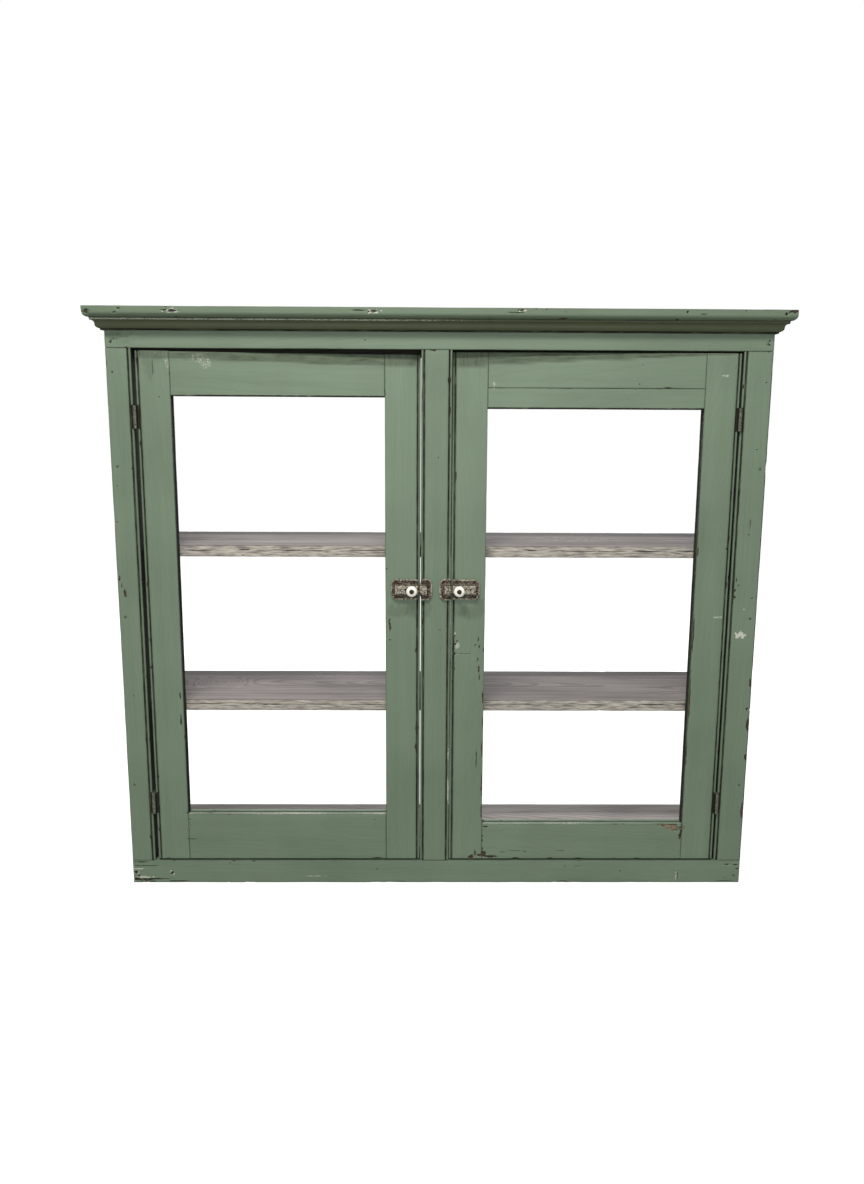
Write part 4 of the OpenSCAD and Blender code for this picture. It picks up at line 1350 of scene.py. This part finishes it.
def door_edges(side):
    """The places of the door's hinged and free edges."""
    hinged_low, hinged_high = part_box(f"{side}_door_hinged_stile")
    free_low, free_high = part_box(f"{side}_door_free_stile")
    if side == "left":
        return hinged_low.x, free_high.x
    return hinged_high.x, free_low.x


def twisted(side):
    """Leans a door's upper free corner back from the face."""
    hinged, free = door_edges(side)
    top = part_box(f"{side}_door_hinged_stile")[1].z

    def change(points):
        across = np.clip((points[:, 0] - hinged) / (free - hinged), 0, 1)
        up = np.clip((points[:, 2] - TWIST_FROM_Z) / (top - TWIST_FROM_Z), 0, 1)
        points[:, 1] += TWIST[side] * across * up**1.3
        return points

    return change


def sagging(side, base_z):
    """Lowers the door's top edge towards its free side, as the CAD boards have it."""
    hinged, free = door_edges(side)
    hinged_low, hinged_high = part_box(f"{side}_door_hinged_stile")
    free_low, free_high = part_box(f"{side}_door_free_stile")
    inner_free = free_low.x if side == "left" else free_high.x
    fall = (hinged_high.z - free_high.z) / (inner_free - hinged)
    top = hinged_high.z

    def change(points):
        wanted = top - fall * (points[:, 0] - hinged)
        share = (points[:, 2] - base_z) / (top - base_z)
        points[:, 2] = np.where(share > 0, base_z + share * (wanted - base_z), points[:, 2])
        return points

    return change


def top_shadow_and_dirt(side):
    """Painted shadow of the frieze, with some dirt, along the top of a door."""
    shallow, deep = TOP_SHADOW_AND_DIRT[side]
    hinged, free = door_edges(side)
    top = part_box(f"{side}_door_hinged_stile")[1].z

    def dirt(points):
        across = np.clip((points[:, 0] - hinged) / (free - hinged), 0, 1)
        depth = shallow + (deep - shallow) * across
        return 0.85 * (1 - smooth_step(-0.6 * mm, 0.8 * mm, top - points[:, 2] - depth))

    return dirt


def door_stile(side, which, light, seed):
    node = f"{side}_door_{which}_stile"
    low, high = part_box(node)
    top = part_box(f"{side}_door_hinged_stile")[1].z
    hinged = which == "hinged"
    bead_near = hinged == (side == "left")
    if not hinged and side == "left":
        high.x += SWOLLEN[side]
    if not hinged and side == "right":
        low.x -= SWOLLEN[side]
    corners = upright_section(low, high, bead_near, not bead_near, "far" if bead_near else "near")
    marks = nearby(DOOR_MARKS[side], low, high)
    groove_low, groove_high = light[0] - GROOVE_D, light[1] + GROOVE_D
    stops = [groove_low, groove_high] + (notch_stops(side) if hinged else [])
    surface = swept(corners, "Z", low.z, top, marks, stops)
    inner = high.x if bead_near else low.x
    inward = -1 if bead_near else 1
    sag = sagging(side, low.z)
    groove_front = (low.y + high.y - GROOVE_W) / 2 - 0.3 * mm

    def shape(points):
        outside = (points[:, 2] < groove_low) | (points[:, 2] > groove_high)
        in_groove = (points[:, 1] > groove_front) & (points[:, 1] < groove_front + GROOVE_W + 0.6 * mm)
        shallow = (points[:, 0] - inner) * inward > -0.01 * mm
        filled = outside & in_groove & shallow & ((points[:, 0] - inner) * inward < GROOVE_D + 0.1 * mm)
        points[filled, 0] = inner + inward * 0.02 * mm
        if hinged:
            towards = 1 if side == "left" else -1
            width = 0.4 * mm if side == "left" else 2.2 * mm
            points = hinge_notch(points, side, towards, width)
        return sag(points)

    # Painted shadow of the frieze along the top, and painted shade on the faces beside the gaps and in the
    # hinge notches
    dirt = most(top_shadow_and_dirt(side), edge_dirt(low.y, (0, low.x), (0, high.x), (2, top)))
    if hinged:
        dirt = most(dirt, notch_dirt(side))
    abuse = 0.04 if side == "right" else 0.0
    piece = aged(node + "_board", surface, 2, 0, seed, marks, reshape=shape, abuse=abuse, dirt=dirt)
    write_points(piece.data, twisted(side)(read_points(piece.data)))
    return dress(piece, PAINT["Z"], f"{side}_door", "green_paint", node)


def rail_section(low, high, groove=None):
    """A rail's section in Y and Z, grooved above or below."""
    groove_front = (low.y + high.y - GROOVE_W) / 2
    groove_back = groove_front + GROOVE_W
    corners = [(low.y, low.z, EDGE_R)]
    if groove == "below":
        corners += [
            (groove_front, low.z, 0.4 * mm),
            (groove_front, low.z + GROOVE_D, 0.0),
            (groove_back, low.z + GROOVE_D, 0.0),
            (groove_back, low.z, 0.4 * mm),
        ]
    corners += [(high.y, low.z, EDGE_R), (high.y, high.z, EDGE_R)]
    if groove == "above":
        corners += [
            (groove_back, high.z, 0.4 * mm),
            (groove_back, high.z - GROOVE_D, 0.0),
            (groove_front, high.z - GROOVE_D, 0.0),
            (groove_front, high.z, 0.4 * mm),
        ]
    return corners + [(low.y, high.z, EDGE_R)]


def pale_lip(low, high):
    """The pale ledge in front of a bottom rail's groove, less pale towards the right."""
    groove_front = (low.y + high.y - GROOVE_W) / 2

    def pale(points):
        ledge = (points[:, 2] > high.z - 0.7 * mm) & (points[:, 1] < groove_front + 0.3 * mm)
        return ledge * (0.62 + 0.4 * noise(points, 0.07, 5) - 0.5 * smooth_step(0.18, 0.32, points[:, 0]))

    return pale


def door_rail(side, part, groove, seed, abuse=0.0):
    """A rail between the door's stiles; its CAD box also holds the tenons."""
    node = f"{side}_door_{part}"
    low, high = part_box(node)
    hinged_low, hinged_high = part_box(f"{side}_door_hinged_stile")
    free_low, free_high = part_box(f"{side}_door_free_stile")
    left, right = (hinged_high.x, free_low.x) if side == "left" else (free_high.x, hinged_low.x)
    low.x, high.x = left, right
    marks = nearby(DOOR_MARKS[side], low, high)
    surface = swept(rail_section(low, high, groove), "X", left, right, marks, end_r=0.5 * mm)
    reshape = sagging(side, low.z) if part == "top_rail" else None
    # Painted shadow of the frieze along the top, painted shade on the faces beside the gaps, and a dark line
    # under a grooved top rail
    pale, edges = None, [(2, low.z), (2, high.z)]
    if part == "bottom_rail":
        pale, edges = pale_lip(low, high), [(2, low.z)]
    dirt = most(top_shadow_and_dirt(side), edge_dirt(low.y, *edges))
    if groove == "below":
        dirt = most(dirt, black_arris(low.y, 2, low.z, 2.2 * mm))
    looks = {"reshape": reshape, "pale": pale, "dirt": dirt, "abuse": abuse}
    piece = aged(node + "_board", surface, 0, 2, seed, marks, **looks)
    write_points(piece.data, twisted(side)(read_points(piece.data)))
    return dress(piece, PAINT["X"], f"{side}_door", "green_paint", node)


def door(side, seed):
    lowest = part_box(f"{side}_door_bottom_rail")[1].z
    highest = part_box(f"{side}_door_" + ("top_rail" if side == "left" else "top_strip"))[0].z
    door_stile(side, "hinged", (lowest, highest), seed)
    door_stile(side, "free", (lowest, highest), seed + 1)
    door_rail(side, "bottom_rail", "above", seed + 2, abuse=0.12 if side == "right" else 0.0)
    if side == "left":
        door_rail(side, "top_rail", "below", seed + 3)
    else:
        door_rail(side, "top_rail", None, seed + 3)
        door_rail(side, "top_strip", "below", seed + 4)


# ---------------------------------------------------------------- hardware


def keep_node(node, material, bevel=0.0):
    """A CAD node that stays as it is, with a material and eased edges."""
    piece = nodes[node]
    piece.data.materials.clear()
    piece.data.materials.append(material)
    piece.data.shade_smooth()
    if bevel:
        modifier = piece.modifiers.new("eased_edges", "BEVEL")
        modifier.width = bevel
        modifier.segments = 2
        modifier.limit_method = "ANGLE"
        modifier.angle_limit = math.radians(40)
        modifier.harden_normals = False
    smooth = piece.modifiers.new("smooth_by_angle", "WEIGHTED_NORMAL")
    smooth.keep_sharp = True
    return piece


CAST_VOXEL = 0.5 * mm
RIM_H = 0.6 * mm

# In millimetres: the rounding of a plate's corners, and the depth of the pits in a casting's skin
PLATE_CORNER = 9.0
PIT_DEPTH = 0.16

# In millimetres: the sunk line on a catch's case, its place across and up, half its length and width, its depth
LINE_AT = 26.5
LINE_UP = 1.2
LINE_HALF_L = 4.8
LINE_HALF_W = 0.45
LINE_DEPTH = 0.35


def casting(node, edge, inward):
    """Remakes a casting with a pitted skin, a raised rim round its plate, and dirt and painted shade in its
    hollows and on the sides of its case.

    edge is the X of the door's or the post's edge, and inward is the way from there into the wood.
    """
    piece = placed(node + "_cast", nodes[node].data.copy())
    skin = piece.modifiers.new("skin", "REMESH")
    skin.mode = "VOXEL"
    skin.voxel_size = CAST_VOXEL
    mesh = bpy.data.meshes.new_from_object(piece.evaluated_get(bpy.context.evaluated_depsgraph_get()))
    piece.modifiers.clear()
    piece.data = mesh

    points, normals = read_points(mesh), read_points(mesh, "normal")
    middle_z = (points[:, 2].min() + points[:, 2].max()) / 2
    across = (points[:, 0] - edge) * inward / mm
    up = (points[:, 2] - middle_z) / mm
    proud = (FACE_Y - points[:, 1]) / mm
    past_x = across - (across.max() - PLATE_CORNER)
    past_z = np.abs(up) - (np.abs(up).max() - PLATE_CORNER)
    in_corner = np.hypot(np.maximum(past_x, 0), np.maximum(past_z, 0))
    to_outline = PLATE_CORNER - np.where(in_corner > 0, in_corner, np.maximum(past_x, past_z))

    # Shares from 0 to 1: of the plate, of the rim round it, of the raised case and of what looks forwards
    on_plate = 1 - smooth_step(2.6, 3.6, proud)
    rim = on_plate * (1 - smooth_step(1.9, 2.9, to_outline))
    raised = smooth_step(6.0, 9.0, proud)
    front = smooth_step(0.3, 0.8, -normals[:, 1])
    over_line = (np.abs(up - LINE_UP) < LINE_HALF_W) & (np.abs(across - LINE_AT) < LINE_HALF_L)
    line = over_line & (proud > 6)
    pits = np.clip(rough(points, 1.7 * mm, 3), -0.4, 1.5)
    points[:, 1] -= RIM_H * rim * front
    points -= normals * mm * (PIT_DEPTH * pits + LINE_DEPTH * line)[:, None]
    write_points(mesh, points)
    pale = (0.5 * raised + 0.45 * rim) * front
    # Painted shade, with some dirt: the plate's field inside its rim and the sides of the case are darkened
    grime = np.maximum(0.62 * on_plate * (1 - rim) * front, 0.7 * (1 - on_plate) * (1 - raised * front))
    write_looks(mesh, pale=pale, grime=np.maximum(grime, 1.0 * line))
    mesh.shade_smooth()
    return piece


def turned(name, outline, place, out, turns=64):
    """A turned piece: an outline of (radius, height) round an axis that points out from a place."""
    first = out.orthogonal().normalized()
    second = out.cross(first)
    mesh = bmesh.new()
    rings = []
    for k in range(turns):
        angle = 2 * math.pi * k / turns
        across = math.cos(angle) * first + math.sin(angle) * second
        rings.append([mesh.verts.new(place + across * radius + out * height) for radius, height in outline])
    for here, there in zip(rings, rings[1:] + rings[:1]):
        for j in range(len(outline)):
            following = (j + 1) % len(outline)
            mesh.faces.new((here[j], here[following], there[following], there[j]))
    bmesh.ops.remove_doubles(mesh, verts=mesh.verts, dist=1e-6)
    bmesh.ops.recalc_face_normals(mesh, faces=mesh.faces)
    data = bpy.data.meshes.new(name)
    mesh.to_mesh(data)
    mesh.free()
    data.shade_smooth()
    return data


# A nail's outline: radius and height over its head's CAD face, in millimetres
NAIL_OUTLINE = [
    (0.0, -0.12), (0.9, -0.15), (1.6, -0.25), (2.05, -0.45), (2.2, -0.7), (2.1, -0.95), (1.3, -1.1),
    (1.3, -38.0), (0.7, -40.5), (0.0, -42.0),
]


def nails():
    """Every nail of the case in one piece, with a domed head under the paint."""
    joined = bmesh.new()
    for place, out in NAILS:
        outline = [(radius * mm, height * mm) for radius, height in NAIL_OUTLINE]
        data = turned("nail", outline, place, out, 20)
        joined.from_mesh(data)
        bpy.data.meshes.remove(data)
    mesh = bpy.data.meshes.new("case_nails_driven")
    joined.to_mesh(mesh)
    joined.free()
    mesh.shade_smooth()
    dress(placed("case_nails_driven", mesh), NAIL_PAINT, "carcass", "steel", "case_nails")


# The glazed mushroom is a little smaller than its CAD disc
KNOB_SHARE = 0.955


def knob(side):
    """A mushroom knob turned from its CAD size."""
    node = f"{side}_catch_knob"
    low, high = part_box(node)
    radius = (high.x - low.x) / 2 * KNOB_SHARE
    length = high.y - low.y
    centre = Vector(((low.x + high.x) / 2, high.y, (low.z + high.z) / 2))
    bore = 2.15 * mm
    seat_r = 3.4 * mm
    outline = [
        (bore, 0.0),
        (radius * 0.62, 0.0),
        (radius * 0.70, length * 0.05),
        (radius * 0.66, length * 0.14),
        (radius * 0.56, length * 0.28),
        (radius * 0.55, length * 0.38),
        (radius * 0.66, length * 0.50),
        (radius * 0.88, length * 0.58),
        (radius * 0.985, length * 0.65),
        (radius, length * 0.73),
        (radius * 0.975, length * 0.80),
        (radius * 0.90, length * 0.87),
        (radius * 0.80, length * 0.915),
        (radius * 0.74, length * 0.925),
        (radius * 0.68, length * 0.955),
        (radius * 0.56, length * 0.985),
        (seat_r + 0.4 * mm, length),
        (seat_r, length - 0.3 * mm),
        (seat_r, length - 1.2 * mm),
        (bore, length - 1.3 * mm),
    ]
    data = turned(node + "_turned", outline, centre, Vector((0, -1, 0)))
    piece = placed(node + "_turned", data)
    subdivide = piece.modifiers.new("round", "SUBSURF")
    subdivide.levels = 1
    subdivide.render_levels = 1
    return dress(piece, CHINA, f"{side}_bolt", "porcelain", node)


def spring(side):
    """The coil spring behind a bolt, as a copy of its CAD node on the door."""
    node = f"{side}_catch_spring"
    piece = placed(node + "_coil", nodes[node].data.copy())
    dress(piece, STEEL, f"{side}_door", "steel", node)
    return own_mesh(piece)


def hardware():
    for side in ("left", "right"):
        for place in ("upper", "lower"):
            keep_node(f"{side}_{place}_frame_leaf", HINGE_PAINT, 0.3 * mm)
            keep_node(f"{side}_{place}_door_leaf", HINGE_PAINT, 0.3 * mm)
            keep_node(f"{side}_{place}_hinge_pin", STEEL)
        keep_node(f"{side}_door_hinge_screws", STEEL)
        door_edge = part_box(f"{side}_door_free_stile")
        post_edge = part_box("centre_post")
        if side == "left":
            catch = casting("left_catch_case", door_edge[1].x, -1)
            keeper = casting("left_keeper", post_edge[0].x, 1)
        else:
            catch = casting("right_catch_case", door_edge[0].x, 1)
            keeper = casting("right_keeper", post_edge[1].x, -1)
        dress(catch, IRON, f"{side}_door", "cast_iron", f"{side}_catch_case")
        dress(keeper, IRON, "carcass", "cast_iron", f"{side}_keeper")
        keep_node(f"{side}_catch_bolt", IRON, 0.3 * mm)
        keep_node(f"{side}_knob_stud", RUST)
        spring(side)
        keep_node(f"{side}_catch_screws", RUST)
        knob(side)
    keep_node("frame_hinge_screws", STEEL)
    keep_node("keeper_screws", RUST)
    nails()


# ---------------------------------------------------------------- studio

CAMERA_BEHIND_X = -25.6 * mm
CAMERA_DISTANCE = 1400.4 * mm
CAMERA_HEIGHT = 716.6 * mm
CAMERA_PITCH = -10.42
CAMERA_YAW = 0.622
CAMERA_ROLL = 0.288
CAMERA_LENS = 29.49


def camera():
    data = bpy.data.cameras.new("camera")
    data.sensor_width = 36
    data.lens = CAMERA_LENS
    data.clip_start = 0.01
    data.clip_end = 100
    eye = bpy.data.objects.new("camera", data)
    bpy.context.scene.collection.objects.link(eye)
    pitch, yaw, roll = (math.radians(a) for a in (CAMERA_PITCH, CAMERA_YAW, CAMERA_ROLL))
    forward = Vector((math.sin(yaw) * math.cos(pitch), math.cos(yaw) * math.cos(pitch), math.sin(pitch)))
    right = Vector((math.cos(yaw), -math.sin(yaw), 0))
    up = right.cross(forward)
    right, up = math.cos(roll) * right + math.sin(roll) * up, math.cos(roll) * up - math.sin(roll) * right
    turn = Matrix((right, up, -forward)).transposed()
    place = Vector((CAMERA_BEHIND_X, FACE_Y - CAMERA_DISTANCE, CAMERA_HEIGHT))
    eye.matrix_world = Matrix.Translation(place) @ turn.to_4x4()
    bpy.context.scene.camera = eye


def white_to_camera(tree, seen, lighting, output, socket):
    """Shows one shader to the camera and another to everything that it lights."""
    path = tree.nodes.new("ShaderNodeLightPath")
    mix = tree.nodes.new("ShaderNodeMixShader")
    tree.links.new(path.outputs["Is Camera Ray"], mix.inputs[0])
    tree.links.new(lighting, mix.inputs[1])
    tree.links.new(seen, mix.inputs[2])
    tree.links.new(mix.outputs[0], output.inputs[socket])


AMBIENT = 0.28

# Each light: its place, what it points at, its width and height, its watts and its colour
LIGHTS = {
    "key": ((-0.25, -1.1, 2.15), (0.0, 0.0, 0.5), (1.0, 0.16), 39, (1.0, 0.965, 0.93)),
    "fill": ((0.0, -3.4, 0.8), (0.0, 0.0, 0.4), (2.4, 1.6), 38.5, (0.97, 1.0, 1.0)),
    "behind": ((0.0, 2.2, 1.5), (0.0, 0.0, 0.3), (2.2, 1.2), 36, (1.0, 1.0, 1.0)),
}


def studio():
    world = bpy.data.worlds.new("studio")
    bpy.context.scene.world = world
    world.use_nodes = True
    tree = world.node_tree
    lit = tree.nodes["Background"]
    lit.inputs["Color"].default_value = (0.94, 0.985, 1.0, 1)
    lit.inputs["Strength"].default_value = AMBIENT
    seen = tree.nodes.new("ShaderNodeBackground")
    seen.inputs["Color"].default_value = (1, 1, 1, 1)
    seen.inputs["Strength"].default_value = 1.0
    white_to_camera(tree, seen.outputs[0], lit.outputs[0], tree.nodes["World Output"], "Surface")

    for name, (place, aim, size, watts, tint) in LIGHTS.items():
        data = bpy.data.lights.new(name, "AREA")
        data.shape = "RECTANGLE"
        data.size, data.size_y = size
        data.energy = watts
        data.color = tint
        lamp = bpy.data.objects.new(name, data)
        lamp.location = place
        lamp.rotation_euler = (Vector(aim) - Vector(place)).to_track_quat("-Z", "Y").to_euler()
        lamp.visible_camera = False
        bpy.context.scene.collection.objects.link(lamp)

    material = bpy.data.materials.new("floor")
    material.use_nodes = True
    tree = material.node_tree
    lit = tree.nodes["Principled BSDF"]
    lit.inputs["Base Color"].default_value = (0.45, 0.45, 0.44, 1)
    lit.inputs["Roughness"].default_value = 0.9
    glow = tree.nodes.new("ShaderNodeEmission")
    glow.inputs["Strength"].default_value = 0.9
    both = tree.nodes.new("ShaderNodeAddShader")
    tree.links.new(lit.outputs[0], both.inputs[0])
    tree.links.new(glow.outputs[0], both.inputs[1])
    white_to_camera(tree, both.outputs[0], lit.outputs[0], tree.nodes["Material Output"], "Surface")
    mesh = bpy.data.meshes.new("floor")
    reach = 30.0
    corners = [(-reach, -reach, 0), (reach, -reach, 0), (reach, reach, 0), (-reach, reach, 0)]
    mesh.from_pydata(corners, [], [(0, 1, 2, 3)])
    floor = bpy.data.objects.new("floor", mesh)
    mesh.materials.append(material)
    floor.location.z = -0.3 * mm
    bpy.context.scene.collection.objects.link(floor)

    view = bpy.context.scene.view_settings
    view.view_transform = "Standard"
    view.look = "None"


camera()
shelves()
case_sides()
rails()
uprights()
top_board()
cornice()
door("left", 91)
door("right", 101)
hardware()
studio()
